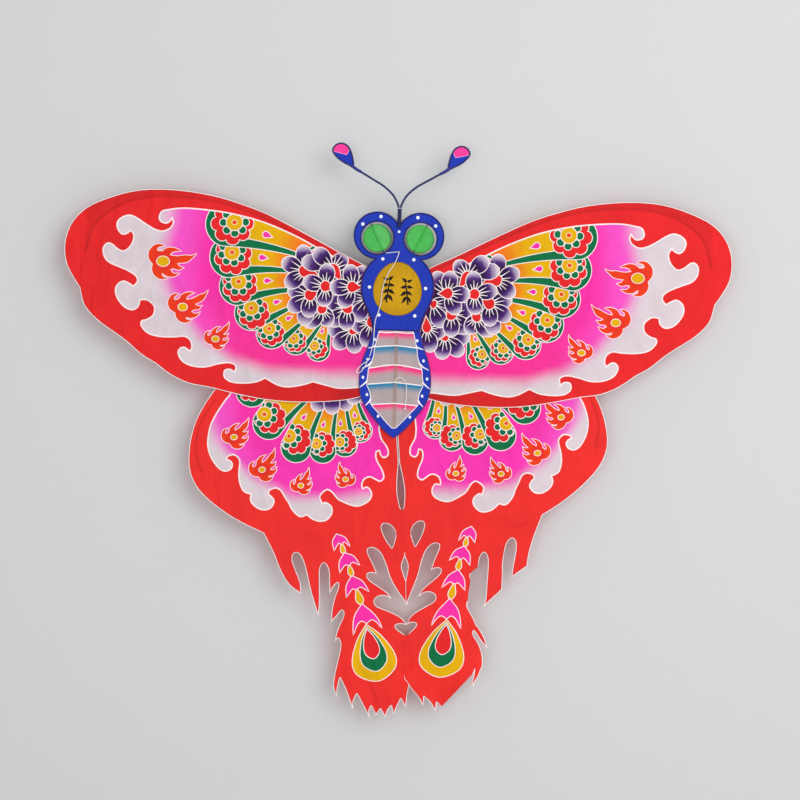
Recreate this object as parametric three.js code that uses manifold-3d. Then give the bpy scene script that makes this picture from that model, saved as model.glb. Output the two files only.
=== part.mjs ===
// A painted-silk butterfly kite: four silk wings on bamboo spars, folding back on a light bamboo body
// that carries two wind-driven eyes, two sprung feelers and a thread bridle.
// Millimetres, +Z up, +X to the right as seen from the front. The front faces -Y, and the flat back of
// the spine lies on y = 0, so the kite hangs flat against a wall.

import * as THREE from "three";
import { mergeVertices } from "three/addons/utils/BufferGeometryUtils.js";
import Module from "manifold-3d";

const wasm = await Module();
wasm.setup();

// ---------------------------------------------------------------- driving dimensions

const GAP = 0.3; // running clearance between neighbouring pieces
const EDGE_GAP = 0.5; // between the wing silk and the body's outline
const SPAN_STEPS = 3; // straight pieces between two points of a smooth outline
const SPAR_STEPS = 40; // straight pieces in a bent spar
const STRAIGHT = 1e-3; // a bend this slight is dropped from an outline

const SPINE = { width: 6, thick: 3.4, top: 86.5, bottom: -172 };
const NOTCH = { depth: 1.1, half: 4.3 }; // where a lashing sits in the back of the spine
const STICK = { radius: 1.2, y: -5 }; // cross sticks and the upper spars
const LOWER_SPAR = { radius: 1.1, y: -3.9 };
const WRAP = 0.6; // cloth or thread round a spar
const HOOP = { back: -7.5, thick: 2.2, width: 2.4 };
const SKIN = { back: -10, thick: 0.8 };
const UPPER_SILK = { back: -7.6, thick: 0.8 };
const LOWER_SILK = { back: -6.2, thick: 0.8 };

const HINGE_X = 36; // the wings fold back about upright lines this far from the middle
const ROOT_GAP = 0.8; // from the fold line to the end of a spar or a socket

const EYE = { x: 25.8, ringZ: 64, ringRadius: 27.2, holeZ: 61, holeRadius: 19.6 };
const EYE_HOOP = { outer: 25.5, inner: 23.1 };
const SPINNER = { radius: 15.6, thick: 0.8, tilt: 8, hub: 1.5, bore: 0.8, axle: 0.5, collar: 1.2, lean: 25 };

const STICK_HEIGHTS = { brow: 83, cheek: 42, shoulder: 21, waist: -62 };
const SWAY = { angle: 5.3, pivotZ: -125 }; // the lower wings hang a little off the body's line
const SILK_TOP = -116; // the lower silk ends here, under the hem of the upper silk

const FEELER = { y: -12.05, radius: 0.75, base: 97.3, frame: 1.4, frameThick: 1.5 };
const THREAD_RADIUS = 0.5;

const COLOURS = {
  bamboo: 0xc9a468,
  silk: 0xe8343a,
  blue: 0x2138c0,
  green: 0x35c040,
  navy: 0x141a54,
  thread: 0xf2f0ea,
  vinyl: 0x9aa0a4,
};

// ---------------------------------------------------------------- outlines, one side, as [out, up]

// Thorax from the neck down to its flat lower edge.
const THORAX = [
  [26, 36], [33, 29.5], [38, 21.5], [41, 14], [42.3, 5], [42, -5], [39, -15], [34.5, -25], [29.5, -36], [27.5, -48.4],
];
const NECK_PEAK = 60;
const HEAD_NOTCH = { half: 4, bottom: 56, top: 78 };

// The oval hoop inside the thorax.
const THORAX_HOOP = [
  [0, 42.5], [14, 39.5], [25, 34], [32.5, 28], [37, 20.5], [40, 13], [41.2, 4], [40.8, -5],
  [37.8, -15], [33, -25.5], [27, -37], [15, -44.5], [0, -46.5],
];

// Abdomen from the waist to the tip.
const ABDOMEN = [
  [27.4, -49.2], [29.4, -60], [32.4, -70], [36.8, -82], [39.8, -93], [41.4, -105], [41.2, -117],
  [39.2, -128], [34.8, -138], [27.8, -148], [19.2, -158.5], [9.5, -169], [0, -176],
];

// The bent side stick of the abdomen, as [out, depth, up]; it turns back to the spine at its tip.
const ABDOMEN_STICK = [
  [25.2, -8.6, -51], [27.2, -8.6, -62], [30, -8.6, -71.5], [34.2, -8.6, -83], [37.2, -8.6, -94], [38.8, -8.6, -105],
  [38.6, -8.6, -116], [36.8, -8.6, -126], [32.6, -8.6, -135.5], [26, -8.4, -145], [18, -7.6, -155.5],
  [10, -5.6, -165.5], [5.6, -4, -172],
];

// Upper silk: the leading edge round to the tip, then three scallops and the long lower hem.
const INNER_EDGE = 28.2;
const UPPER_OUTLINE = [
  [
    [INNER_EDGE, 20], [38, 27], [66, 40.5], [97, 56.5], [132, 74], [160, 87], [190, 97.5], [224, 106.5], [270, 112],
    [312, 110.5], [348, 100.5], [377, 86], [393.5, 66], [399.5, 42], [396.5, 20], [388, 4], [380, -8],
  ],
  [[380, -8], [374, -29], [357, -47], [338, -60]],
  [[338, -60], [322, -71], [304, -86], [287, -96]],
  [
    [287, -96], [268, -109.5], [246, -119], [222, -123], [190, -130], [154, -136], [116, -138], [66, -135],
    [42, -130], [INNER_EDGE, -124],
  ],
  [[INNER_EDGE, -124], [INNER_EDGE, 20]],
];

// Lower silk with its outer lobe, its cut fingers, the flames of the tail and the cut-outs along the middle.
const MIDDLE = 0.5; // half the slit between the two halves
const LOWER_OUTLINE = [
  [[MIDDLE, -90], [200, -90]],
  [
    [200, -90], [214, -105], [231, -127], [243, -150], [250, -178], [250, -204], [240, -226], [216, -250],
    [192, -267], [167, -281],
  ],
  [[167, -281], [157, -305], [149, -329], [140, -345], [127, -356]],
  [
    [127, -356], [127, -343], [132, -326], [135, -314], [132, -307], [127, -307.5], [122.5, -315], [119, -330],
    [115, -355], [108, -384],
  ],
  [[108, -384], [105.5, -368], [104, -345], [102, -326], [97.5, -321], [92.5, -328], [92.5, -345], [92.5, -357.5]],
  [[92.5, -357.5], [87, -349], [82, -345.5], [82, -351], [87.5, -364], [91.5, -378], [93, -392]],
  [[93, -392], [86, -385], [79, -378.5], [77.5, -384], [84, -397], [88.5, -408], [90, -416]],
  [[90, -416], [86, -411.5], [83.5, -419], [88, -437], [94, -458], [95.5, -470], [92, -482]],
  [[92, -482], [90.5, -470], [87, -459]],
  [[87, -459], [82, -471], [74, -498]],
  [[74, -498], [72.5, -487], [68, -479.5]],
  [[68, -479.5], [62, -493], [54, -511]],
  [[54, -511], [55, -502], [52, -495]],
  [[52, -495], [47, -507]],
  [[47, -507], [41, -499]],
  [[41, -499], [36, -510]],
  [[36, -510], [33, -502], [28, -496]],
  [[28, -496], [26, -507]],
  [[26, -507], [21, -497], [16, -488]],
  [[16, -488], [11, -499]],
  [[11, -499], [8, -484], [4, -469]],
  [[4, -469], [MIDDLE, -466]],
  [[MIDDLE, -466], [MIDDLE, -418.5]],
  [[MIDDLE, -418.5], [9, -411], [16, -405], [17, -401], [10, -399.5], [2.5, -401.5]],
  [[2.5, -401.5], [11, -391], [29, -381], [39, -375.5], [40, -369], [34, -364.5], [26, -365], [19, -369.5]],
  [[19, -369.5], [24, -361.5], [36, -351.5], [45, -344], [47, -338.5], [42.5, -336], [35, -338]],
  [
    [35, -338], [38, -328], [44, -313], [44, -308], [38, -306.5], [30, -312], [24, -326], [20, -342],
    [13, -358], [MIDDLE, -378],
  ],
  [[MIDDLE, -378], [MIDDLE, -350]],
  [[MIDDLE, -350], [2.5, -343], [5, -331], [MIDDLE, -319]],
  [[MIDDLE, -319], [MIDDLE, -269]],
  [[MIDDLE, -269], [3, -256], [4.5, -241], [3, -224], [MIDDLE, -208]],
  [[MIDDLE, -208], [MIDDLE, -90]],
];
const TEARDROP = [
  [[15, -309], [10.5, -298], [9, -290.5]],
  [[9, -290.5], [13, -283], [18, -279.5], [24, -279], [26, -283], [22.5, -296], [15, -309]],
];

// Bamboo spars, as [out, up].
const UPPER_SPAR = [
  [HINGE_X + ROOT_GAP, 21], [66, 35], [97, 50.5], [132, 67.5], [160, 80], [190, 91], [224, 99.5], [258, 103],
  [294, 103], [332, 93], [363, 69], [375, 34],
];
const LOWER_SPAR_ROOT = [[HINGE_X + ROOT_GAP, STICK.y, -62], [90, LOWER_SPAR.y, -65], [150, LOWER_SPAR.y, -80]];
const LOWER_SPAR_END = [[214, -118], [230, -138], [239, -160], [241, -182], [236, -204]];

// Feeler wire and the drop-shaped frame at its end, as [out, up].
const FEELER_WIRE = [[1.3, FEELER.base], [2.5, 102], [8.5, 112.5], [19.5, 122.5], [32, 130], [44, 137], [56, 144]];
const FEELER_DROP = [
  [55, 142.5], [73, 152], [81, 160], [82.5, 165], [78.5, 171], [72, 173.3], [64.5, 170.5], [59.5, 163], [56.5, 152],
];

// The bridle threads, as [x, y, z].
const UPPER_BRIDLE = [
  [1.1, -11.6, 45], [-0.6, -11.8, 39.5], [-2.9, -11.9, 33.5], [-6.5, -11.9, 27], [-10.6, -11.9, 20.5],
  [-14.4, -11.9, 12.5], [-17.3, -11.9, 3], [-18.6, -11.9, -7], [-19.5, -11.9, -17.3], [-22, -12.2, -27],
  [-24.8, -12.8, -35.5], [-26, -13.2, -43], [-26.4, -13.4, -51.2], [-26.6, -13.4, -58], [-27.2, -13.4, -65.5],
  [-28.8, -13.4, -73], [-31, -13.4, -81],
];
const LOWER_BRIDLE = [
  [-1.1, -11.6, -111.7], [0.6, -12, -108.3], [3, -12.3, -105.9], [6.2, -12.4, -105.2], [9.8, -12.4, -106.6],
  [12.6, -12.4, -109.8], [13.8, -12.4, -114.5], [14.1, -12.4, -121], [14, -12.4, -128], [13.6, -12.4, -135],
  [13.1, -12.4, -141],
];
const KNOT = { x: -32, y: -13.4, z: -84, radius: 1.6 };
const TOW_LOOP = { tip: [-45.5, -101], base: [-33.7, -86.8], half: 2.6 };

// ---------------------------------------------------------------- geometry helpers

const degrees = THREE.MathUtils.degToRad;
const sides = [["left", -1], ["right", 1]];

// A smooth run of straight pieces through the points [out, up].
function smooth(points) {
  if (points.length === 2) return points;
  const curve = new THREE.CatmullRomCurve3(points.map(([x, z]) => new THREE.Vector3(x, 0, z)));
  return curve.getPoints((points.length - 1) * SPAN_STEPS).map((p) => [p.x, p.z]);
}

// A closed outline from runs that meet at sharp corners, without the points that bend nothing.
function outline(runs) {
  const points = runs.flatMap((run) => smooth(run).slice(0, -1));
  return points.filter(([x, z], i) => {
    const [fromX, fromZ] = points.at(i - 1);
    const [toX, toZ] = points[(i + 1) % points.length];
    return Math.abs((x - fromX) * (toZ - z) - (z - fromZ) * (toX - x)) > STRAIGHT;
  });
}

function mirrored(points, side) {
  return points.map(([x, ...rest]) => [x * side, ...rest]);
}

// A closed outline from the half on the +X side, listed from the top down.
function bothHalves(half) {
  const other = mirrored(half, -1).reverse();
  return [...half, ...other.filter(([x]) => x !== 0)];
}

// The outline moved outwards by a distance, or inwards by a negative one, with its corners kept sharp.
function grown(points, distance) {
  const turn = Math.sign(THREE.ShapeUtils.area(toVectors(points))) * distance;
  const outward = ([x, z], [nextX, nextZ]) => new THREE.Vector2(nextZ - z, x - nextX).normalize();
  return points.map((point, i) => {
    const before = outward(points.at(i - 1), point);
    const after = outward(point, points[(i + 1) % points.length]);
    const reach = turn / (1 + before.dot(after));
    return [point[0] + (before.x + after.x) * reach, point[1] + (before.y + after.y) * reach];
  });
}

// Turns a point of the lower wings about the sway pivot.
function swayed([x, z]) {
  const point = new THREE.Vector2(x, z);
  point.rotateAround(new THREE.Vector2(0, SWAY.pivotZ), degrees(SWAY.angle));
  return [point.x, point.y];
}

const toVectors = (points) => points.map(([x, z]) => new THREE.Vector2(x, z));

// The outline runs anticlockwise, which is what makes its holes come out the right way round.
function shapeOf(points, holes = []) {
  const vectors = toVectors(points);
  const shape = new THREE.Shape(THREE.ShapeUtils.isClockWise(vectors) ? vectors.reverse() : vectors);
  shape.holes = holes.map((hole) => new THREE.Path(toVectors(hole)));
  return shape;
}

// An upright plate: the outline in XZ, from y = back forwards to y = back - thick.
function plate(points, { back, thick }, holes = []) {
  const geometry = new THREE.ExtrudeGeometry(shapeOf(points, holes), { depth: thick, bevelEnabled: false });
  return geometry.rotateX(Math.PI / 2).translate(0, back, 0);
}

function circle(x, z, radius, count = 40) {
  return Array.from({ length: count }, (_, i) => {
    const angle = (i / count) * 2 * Math.PI;
    return [x + radius * Math.cos(angle), z + radius * Math.sin(angle)];
  });
}

// A rod of a given section along the smooth line through the points [x, y, z].
function rod(points, section, steps) {
  const path = new THREE.CatmullRomCurve3(points.map((p) => new THREE.Vector3(...p)));
  return new THREE.ExtrudeGeometry(shapeOf(section), { steps, extrudePath: path });
}

const round = (radius, count = 8) => circle(0, 0, radius, count);
const square = (size) => [[size, size], [-size, size], [-size, -size], [size, -size]].map(([a, b]) => [a / 2, b / 2]);

function cylinder(start, end, radius, count = 16) {
  const axis = new THREE.Vector3().subVectors(end, start);
  const geometry = new THREE.CylinderGeometry(radius, radius, axis.length(), count);
  geometry.applyQuaternion(new THREE.Quaternion().setFromUnitVectors(THREE.Object3D.DEFAULT_UP, axis.normalize()));
  const middle = new THREE.Vector3().addVectors(start, end).multiplyScalar(0.5);
  return geometry.translate(middle.x, middle.y, middle.z);
}

function box(low, high) {
  const size = high.map((h, i) => h - low[i]);
  const middle = high.map((h, i) => (h + low[i]) / 2);
  return new THREE.BoxGeometry(...size).translate(...middle);
}

function toSolid(geometry) {
  const bare = geometry.clone();
  bare.deleteAttribute("normal");
  bare.deleteAttribute("uv");
  const merged = mergeVertices(bare, 1e-4);
  return new wasm.Manifold(
    new wasm.Mesh({
      numProp: 3,
      vertProperties: merged.attributes.position.array,
      triVerts: new Uint32Array(merged.index.array),
    }),
  );
}

function toGeometry(solid) {
  const { vertProperties, triVerts } = solid.getMesh();
  const geometry = new THREE.BufferGeometry();
  geometry.setAttribute("position", new THREE.BufferAttribute(vertProperties, 3));
  geometry.setIndex(new THREE.BufferAttribute(triVerts, 1));
  const faceted = geometry.toNonIndexed();
  faceted.computeVertexNormals();
  return faceted;
}

function join(...geometries) {
  return toGeometry(geometries.map(toSolid).reduce((all, one) => all.add(one)));
}

function cut(geometry, ...tools) {
  return toGeometry(tools.map(toSolid).reduce((rest, tool) => rest.subtract(tool), toSolid(geometry)));
}

const kite = new THREE.Group();
kite.name = "butterfly_kite";

function add(name, geometry, colour, roughness = 0.8) {
  const material = new THREE.MeshStandardMaterial({ color: colour, roughness, metalness: 0 });
  const mesh = new THREE.Mesh(geometry, material);
  mesh.name = name;
  kite.add(mesh);
}

// ---------------------------------------------------------------- body frame

const lashingHeights = { ...STICK_HEIGHTS, tail: -166 };

function spine(clearance = 0) {
  const half = SPINE.width / 2 + clearance;
  const body = box([-half, -SPINE.thick - clearance, SPINE.bottom], [half, 0, SPINE.top]);
  const notches = Object.values(lashingHeights).map((z) =>
    box([-half - 1, -NOTCH.depth + clearance, z - NOTCH.half], [half + 1, 1, z + NOTCH.half]),
  );
  return cut(body, ...notches);
}

function crossStick(z, half, clearance = 0) {
  const line = [[-half, STICK.y, z], [0, STICK.y, z], [half, STICK.y, z]];
  return rod(line, round(STICK.radius + clearance), 1);
}

function abdomenStick(side, clearance = 0) {
  return rod(mirrored(ABDOMEN_STICK, side), square(HOOP.thick + 2 * clearance), 30);
}

// A thread wrap round a crossing: a block of winding with room for the pieces it ties.
function lashing(z, half, front, ...members) {
  const wrap = { high: 3.8, back: -0.1 };
  return cut(box([-half, front, z - wrap.high], [half, wrap.back, z + wrap.high]), ...members);
}

function bodyFrame() {
  add("spine", spine(), COLOURS.bamboo);
  const reach = { brow: 41, cheek: 39, shoulder: 33, waist: 33 };
  for (const [name, z] of Object.entries(STICK_HEIGHTS)) {
    add(`${name}_stick`, crossStick(z, reach[name]), COLOURS.bamboo);
    const clear = [spine(GAP), crossStick(z, reach[name] + 1, GAP)];
    add(`${name}_lashing`, lashing(z, 4.6, -7.2, ...clear), COLOURS.thread);
  }
  const tail = [spine(GAP), abdomenStick(-1, GAP), abdomenStick(1, GAP)];
  add("tail_lashing", lashing(lashingHeights.tail, 4.6, -4.6, ...tail), COLOURS.thread);

  const hoop = bothHalves(smooth(THORAX_HOOP));
  add("thorax_hoop", plate(hoop, HOOP, [grown(hoop, -HOOP.width)]), COLOURS.bamboo);
  for (const [name, side] of sides) {
    const middle = [side * EYE.x, EYE.ringZ];
    const ring = plate(circle(...middle, EYE_HOOP.outer), HOOP, [circle(...middle, EYE_HOOP.inner)]);
    add(`${name}_eye_hoop`, ring, COLOURS.bamboo);
    add(`${name}_abdomen_stick`, abdomenStick(side), COLOURS.bamboo);
  }
}

// ---------------------------------------------------------------- skins

function headAndThorax(distance = 0) {
  return join(...headParts(distance).map((points) => plate(points, SKIN)));
}

function headParts(distance) {
  const thorax = bothHalves([[0, NECK_PEAK], ...smooth(THORAX)]);
  const { half, bottom, top } = HEAD_NOTCH;
  const notch = [[half, bottom], [half, top], [-half, top], [-half, bottom]];
  const rings = sides.map(([, side]) => circle(side * EYE.x, EYE.ringZ, EYE.ringRadius + distance, 48));
  return [grown(thorax, distance), notch, ...rings];
}

const abdomenOutline = bothHalves(smooth(ABDOMEN));

function skins() {
  const holes = sides.map(([, side]) =>
    plate(circle(side * EYE.x, EYE.holeZ, EYE.holeRadius), { back: SKIN.back + 1, thick: SKIN.thick + 2 }),
  );
  add("thorax_skin", cut(headAndThorax(), ...holes), COLOURS.blue);
  add("abdomen_skin", plate(abdomenOutline, SKIN), COLOURS.blue);
}

// ---------------------------------------------------------------- eyes that spin in the wind

// Along the axle, leaning outwards at the top.
function axleDirection(side) {
  const lean = degrees(SPINNER.lean);
  return new THREE.Vector3(side * Math.sin(lean), 0, Math.cos(lean));
}

function eyeCentre(side) {
  return new THREE.Vector3(side * EYE.x, HOOP.back - HOOP.thick / 2, EYE.holeZ);
}

// Distances along the axle line at which it meets the inside of the hoop.
function axleEnds(side) {
  const reach = EYE_HOOP.inner - GAP;
  const offset = new THREE.Vector3(0, 0, EYE.holeZ - EYE.ringZ);
  const middle = -offset.dot(axleDirection(side));
  const half = Math.sqrt(reach ** 2 - offset.lengthSq() + middle ** 2);
  return [middle - half, middle + half];
}

function axlePiece(side, from, to, radius) {
  const centre = eyeCentre(side);
  const at = (t) => centre.clone().addScaledVector(axleDirection(side), t);
  return cylinder(at(from), at(to), radius);
}

// One half of the folded disc: flat on the axle line, turned out of the disc's plane about it.
function vane(side, hand) {
  const count = 20;
  const arc = Array.from({ length: count + 1 }, (_, i) => {
    const angle = (i / count - 0.5) * Math.PI;
    return [hand * SPINNER.radius * Math.cos(angle), SPINNER.radius * Math.sin(angle)];
  });
  const geometry = plate(arc, { back: SPINNER.thick / 2, thick: SPINNER.thick });
  geometry.rotateZ(degrees(SPINNER.tilt));
  geometry.rotateY(degrees(SPINNER.lean) * side);
  return geometry.translate(...eyeCentre(side));
}

function eyes() {
  const collar = { start: SPINNER.radius + GAP, length: 1.5 };
  for (const [name, side] of sides) {
    const [low, high] = axleEnds(side);
    const stops = [1, -1].map((end) =>
      axlePiece(side, end * collar.start, end * (collar.start + collar.length), SPINNER.collar),
    );
    add(`${name}_eye_axle`, join(axlePiece(side, low, high, SPINNER.axle), ...stops), COLOURS.navy, 0.4);
    const hub = axlePiece(side, -SPINNER.radius, SPINNER.radius, SPINNER.hub);
    const bore = axlePiece(side, -SPINNER.radius - 1, SPINNER.radius + 1, SPINNER.bore);
    add(`${name}_eye_spinner`, cut(join(vane(side, 1), vane(side, -1), hub), bore), COLOURS.green, 0.5);
  }
}

// ---------------------------------------------------------------- wings

function bodyClearance() {
  const deep = { back: 2, thick: 16 };
  const parts = [...headParts(EDGE_GAP), grown(abdomenOutline, EDGE_GAP)];
  return join(...parts.map((points) => plate(points, deep)));
}

function lowerSparPath(side) {
  const end = mirrored(LOWER_SPAR_END, side).map(swayed);
  return [...mirrored(LOWER_SPAR_ROOT, side), ...end.map(([x, z]) => [x, LOWER_SPAR.y, z])];
}

// A short sleeve round a spar, from one share of its length to another.
function sleeve(points, from, to, radius, bore) {
  const path = new THREE.CatmullRomCurve3(points.map((p) => new THREE.Vector3(...p)));
  const [start, end] = [from, to].map((share) => path.getPointAt(share));
  return cut(cylinder(start, end, radius, 12), rod(points, round(bore), SPAR_STEPS));
}

// A cloth pocket that closes over the end of a spar.
function tipPocket(points, radius, bore) {
  const path = new THREE.CatmullRomCurve3(points.map((p) => new THREE.Vector3(...p)));
  const end = path.getPointAt(1);
  const along = path.getTangentAt(1);
  const [start, tip] = [-9, 2].map((shift) => end.clone().addScaledVector(along, shift));
  const reach = end.clone().addScaledVector(along, GAP);
  return cut(cylinder(start, tip, radius, 12), rod([...points, reach.toArray()], round(bore), SPAR_STEPS + 1));
}

function socket(side, z) {
  const line = [HINGE_X - ROOT_GAP, 27].map((x) => new THREE.Vector3(side * x, STICK.y, z));
  return cut(cylinder(...line, 2.2), crossStick(z, HINGE_X, GAP));
}

function wings() {
  const clearance = bodyClearance();
  const aboveHem = box([-300, -20, SILK_TOP], [300, 10, 0]);
  for (const [name, side] of sides) {
    const upper = mirrored(outline(UPPER_OUTLINE), side);
    add(`${name}_upper_silk`, cut(plate(upper, UPPER_SILK), clearance), COLOURS.silk);
    const lower = mirrored(outline(LOWER_OUTLINE), side).map(swayed);
    const drop = mirrored(outline(TEARDROP), side).map(swayed);
    add(`${name}_lower_silk`, cut(plate(lower, LOWER_SILK, [drop]), clearance, aboveHem), COLOURS.silk);

    const upperSpar = mirrored(UPPER_SPAR, side).map(([x, z]) => [x, STICK.y, z]);
    const lowerSpar = lowerSparPath(side);
    add(`${name}_upper_spar`, rod(upperSpar, round(STICK.radius), SPAR_STEPS), COLOURS.bamboo);
    add(`${name}_lower_spar`, rod(lowerSpar, round(LOWER_SPAR.radius), SPAR_STEPS), COLOURS.bamboo);

    const upperBore = STICK.radius + 2 * GAP;
    const lowerBore = LOWER_SPAR.radius + 2 * GAP;
    add(`${name}_upper_tip_pocket`, tipPocket(upperSpar, upperBore + WRAP, upperBore), COLOURS.silk);
    add(`${name}_lower_tip_pocket`, tipPocket(lowerSpar, lowerBore + WRAP, lowerBore), COLOURS.silk);
    add(`${name}_inner_tie`, sleeve(upperSpar, 0.43, 0.44, upperBore + WRAP, upperBore), COLOURS.thread);
    add(`${name}_outer_tie`, sleeve(upperSpar, 0.7, 0.71, upperBore + WRAP, upperBore), COLOURS.thread);
    add(`${name}_shoulder_socket`, socket(side, STICK_HEIGHTS.shoulder), COLOURS.vinyl, 0.4);
    add(`${name}_waist_socket`, socket(side, STICK_HEIGHTS.waist), COLOURS.vinyl, 0.4);
  }
}

// ---------------------------------------------------------------- feelers

function feelers() {
  const stem = { bottom: 74, top: FEELER.base - 0.6, width: 4.2, thick: 1.8 };
  const low = [-stem.width / 2, FEELER.y - stem.thick / 2, stem.bottom];
  add("antenna_stem", box(low, [stem.width / 2, FEELER.y + stem.thick / 2, stem.top]), COLOURS.navy);
  const frame = { back: FEELER.y + FEELER.frameThick / 2, thick: FEELER.frameThick };
  const film = { back: FEELER.y + 0.3, thick: 0.6 };
  for (const [name, side] of sides) {
    const drop = outline([[...FEELER_DROP, FEELER_DROP[0]]]);
    const inner = grown(drop, -FEELER.frame);
    const wire = rod(FEELER_WIRE.map(([x, z]) => [x * side, FEELER.y, z]), round(FEELER.radius), 30);
    const loop = plate(mirrored(drop, side), frame, [mirrored(inner, side)]);
    add(`${name}_antenna_wire`, join(wire, loop), COLOURS.navy, 0.5);
    add(`${name}_antenna_skin`, plate(mirrored(grown(inner, -GAP), side), film), COLOURS.blue);
  }
}

// ---------------------------------------------------------------- bridle

function towLoop() {
  const [tip, base] = [TOW_LOOP.tip, TOW_LOOP.base].map(([x, z]) => new THREE.Vector2(x, z));
  const along = tip.clone().sub(base);
  const length = along.length();
  const point = (share, out) => {
    const place = base.clone().addScaledVector(along, share);
    return [place.x - (along.y / length) * out, place.y + (along.x / length) * out];
  };
  const half = TOW_LOOP.half;
  const oval = smooth([
    point(0, 0), point(0.3, half * 0.7), point(0.7, half), point(0.93, half * 0.6), point(1, 0),
    point(0.93, -half * 0.6), point(0.7, -half), point(0.3, -half * 0.7), point(0, 0),
  ]).slice(0, -1);
  const layer = { back: KNOT.y + THREAD_RADIUS, thick: 2 * THREAD_RADIUS };
  return plate(grown(oval, THREAD_RADIUS), layer, [grown(oval, -THREAD_RADIUS)]);
}

function bridle() {
  add("upper_bridle", rod(UPPER_BRIDLE, round(THREAD_RADIUS), 40), COLOURS.thread);
  add("lower_bridle", rod(LOWER_BRIDLE, round(THREAD_RADIUS), 24), COLOURS.thread);
  const knot = new THREE.SphereGeometry(KNOT.radius, 12, 8);
  add("bridle_knot", knot.clone().translate(KNOT.x, KNOT.y, KNOT.z), COLOURS.thread);
  add("tow_loop", towLoop(), COLOURS.thread);
  const [x, y, z] = LOWER_BRIDLE.at(-1);
  const endKnot = { radius: 1.1, drop: 1.5 };
  const small = new THREE.SphereGeometry(endKnot.radius, 12, 8).translate(x, y, z - endKnot.drop);
  add("lower_bridle_knot", small, COLOURS.thread);
}

bodyFrame();
skins();
eyes();
wings();
feelers();
bridle();

export default kite;
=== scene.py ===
"""A painted-silk butterfly kite on its bamboo frame, hung flat against a pale wall."""
import math

import bpy
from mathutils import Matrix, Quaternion, Vector, noise
from mathutils.geometry import delaunay_2d_cdt


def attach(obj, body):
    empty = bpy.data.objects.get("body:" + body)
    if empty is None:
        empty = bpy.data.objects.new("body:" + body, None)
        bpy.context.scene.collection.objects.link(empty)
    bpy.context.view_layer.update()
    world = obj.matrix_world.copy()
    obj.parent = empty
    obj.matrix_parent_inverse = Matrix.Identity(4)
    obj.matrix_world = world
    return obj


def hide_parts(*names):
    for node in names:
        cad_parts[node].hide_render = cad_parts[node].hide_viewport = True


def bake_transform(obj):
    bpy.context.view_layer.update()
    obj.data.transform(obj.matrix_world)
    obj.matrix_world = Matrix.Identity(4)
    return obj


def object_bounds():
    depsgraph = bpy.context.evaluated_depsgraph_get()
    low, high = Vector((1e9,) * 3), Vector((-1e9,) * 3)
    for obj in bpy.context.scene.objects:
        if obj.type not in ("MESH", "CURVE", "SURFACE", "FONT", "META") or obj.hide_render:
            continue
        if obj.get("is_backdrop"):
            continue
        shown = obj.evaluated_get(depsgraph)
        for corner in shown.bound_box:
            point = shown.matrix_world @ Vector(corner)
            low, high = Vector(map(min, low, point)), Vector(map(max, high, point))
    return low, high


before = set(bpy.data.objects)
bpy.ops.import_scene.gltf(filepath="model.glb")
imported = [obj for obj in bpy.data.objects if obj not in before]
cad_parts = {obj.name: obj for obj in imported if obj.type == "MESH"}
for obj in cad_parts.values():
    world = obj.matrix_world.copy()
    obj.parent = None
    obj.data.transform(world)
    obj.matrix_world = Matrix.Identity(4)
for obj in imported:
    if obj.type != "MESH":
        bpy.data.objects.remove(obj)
cad_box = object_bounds()
MM = 0.001
SIDES = (("left", -1), ("right", 1))

# ---------------------------------------------------------------- camera

CAMERA_AIM = Vector((0.0067, 0.0, -0.1319))
CAMERA_FIELD = 0.96  # metres across the view at the kite
CAMERA_LENS = 85.0
CAMERA_ROLL = math.radians(1.6)

camera = bpy.data.objects.new("camera", bpy.data.cameras.new("camera"))
camera.data.lens = CAMERA_LENS
camera.location = CAMERA_AIM - Vector((0, CAMERA_FIELD * CAMERA_LENS / camera.data.sensor_width, 0))
camera.rotation_mode = "QUATERNION"
camera.rotation_quaternion = Quaternion((1, 0, 0), math.pi / 2) @ Quaternion((0, 0, 1), CAMERA_ROLL)
bpy.context.collection.objects.link(camera)
bpy.context.scene.camera = camera
bpy.context.scene.view_settings.view_transform = "Standard"

# ---------------------------------------------------------------- colours and materials


def linear(red, green, blue):
    """A colour given as 0 to 255 on screen, as linear light."""
    def channel(v):
        v /= 255
        return v / 12.92 if v <= 0.04045 else ((v + 0.055) / 1.055) ** 2.4
    return Vector((channel(red), channel(green), channel(blue)))


RED = linear(236, 40, 42)
LOWER_RED = linear(246, 50, 46)
HOT_PINK = linear(255, 52, 173)
ROSE_PINK = linear(255, 54, 156)
MAGENTA = linear(255, 58, 184)
PALE_PINK = linear(252, 84, 204)
SILK_WHITE = linear(226, 214, 220)
LINE = linear(255, 244, 242)
WHITE = linear(244, 248, 252)
YELLOW = linear(236, 182, 6)
PALE_YELLOW = linear(250, 214, 150)
ORANGE = linear(252, 116, 32)
FLAME = linear(244, 66, 26)
LEAF = linear(10, 116, 70)
VIOLET = linear(84, 44, 124)
DEEP_VIOLET = linear(44, 20, 68)
LILAC = linear(170, 152, 186)
PETAL_EDGE = linear(222, 208, 220)
BLUE = linear(28, 54, 174)
NAVY = linear(16, 20, 92)
SKY = linear(36, 128, 170)
PANEL = linear(178, 162, 164)
OCHRE = linear(206, 156, 10)
INK = linear(28, 22, 14)
STRIPE_PINK = linear(244, 48, 128)


def node_material(name, roughness, **sockets):
    """A material, its node tree and its shader; sockets set the shader's own inputs."""
    made = bpy.data.materials.new(name)
    made.use_nodes = True
    shader = made.node_tree.nodes["Principled BSDF"]
    shader.inputs["Roughness"].default_value = roughness
    for socket, value in sockets.items():
        shader.inputs[socket.replace("_", " ")].default_value = value
    return made, made.node_tree, shader


def add_node(tree, kind, **values):
    node = tree.nodes.new(kind)
    for key, value in values.items():
        if key in node.inputs:
            node.inputs[key].default_value = value
        else:
            setattr(node, key, value)
    return node


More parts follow.
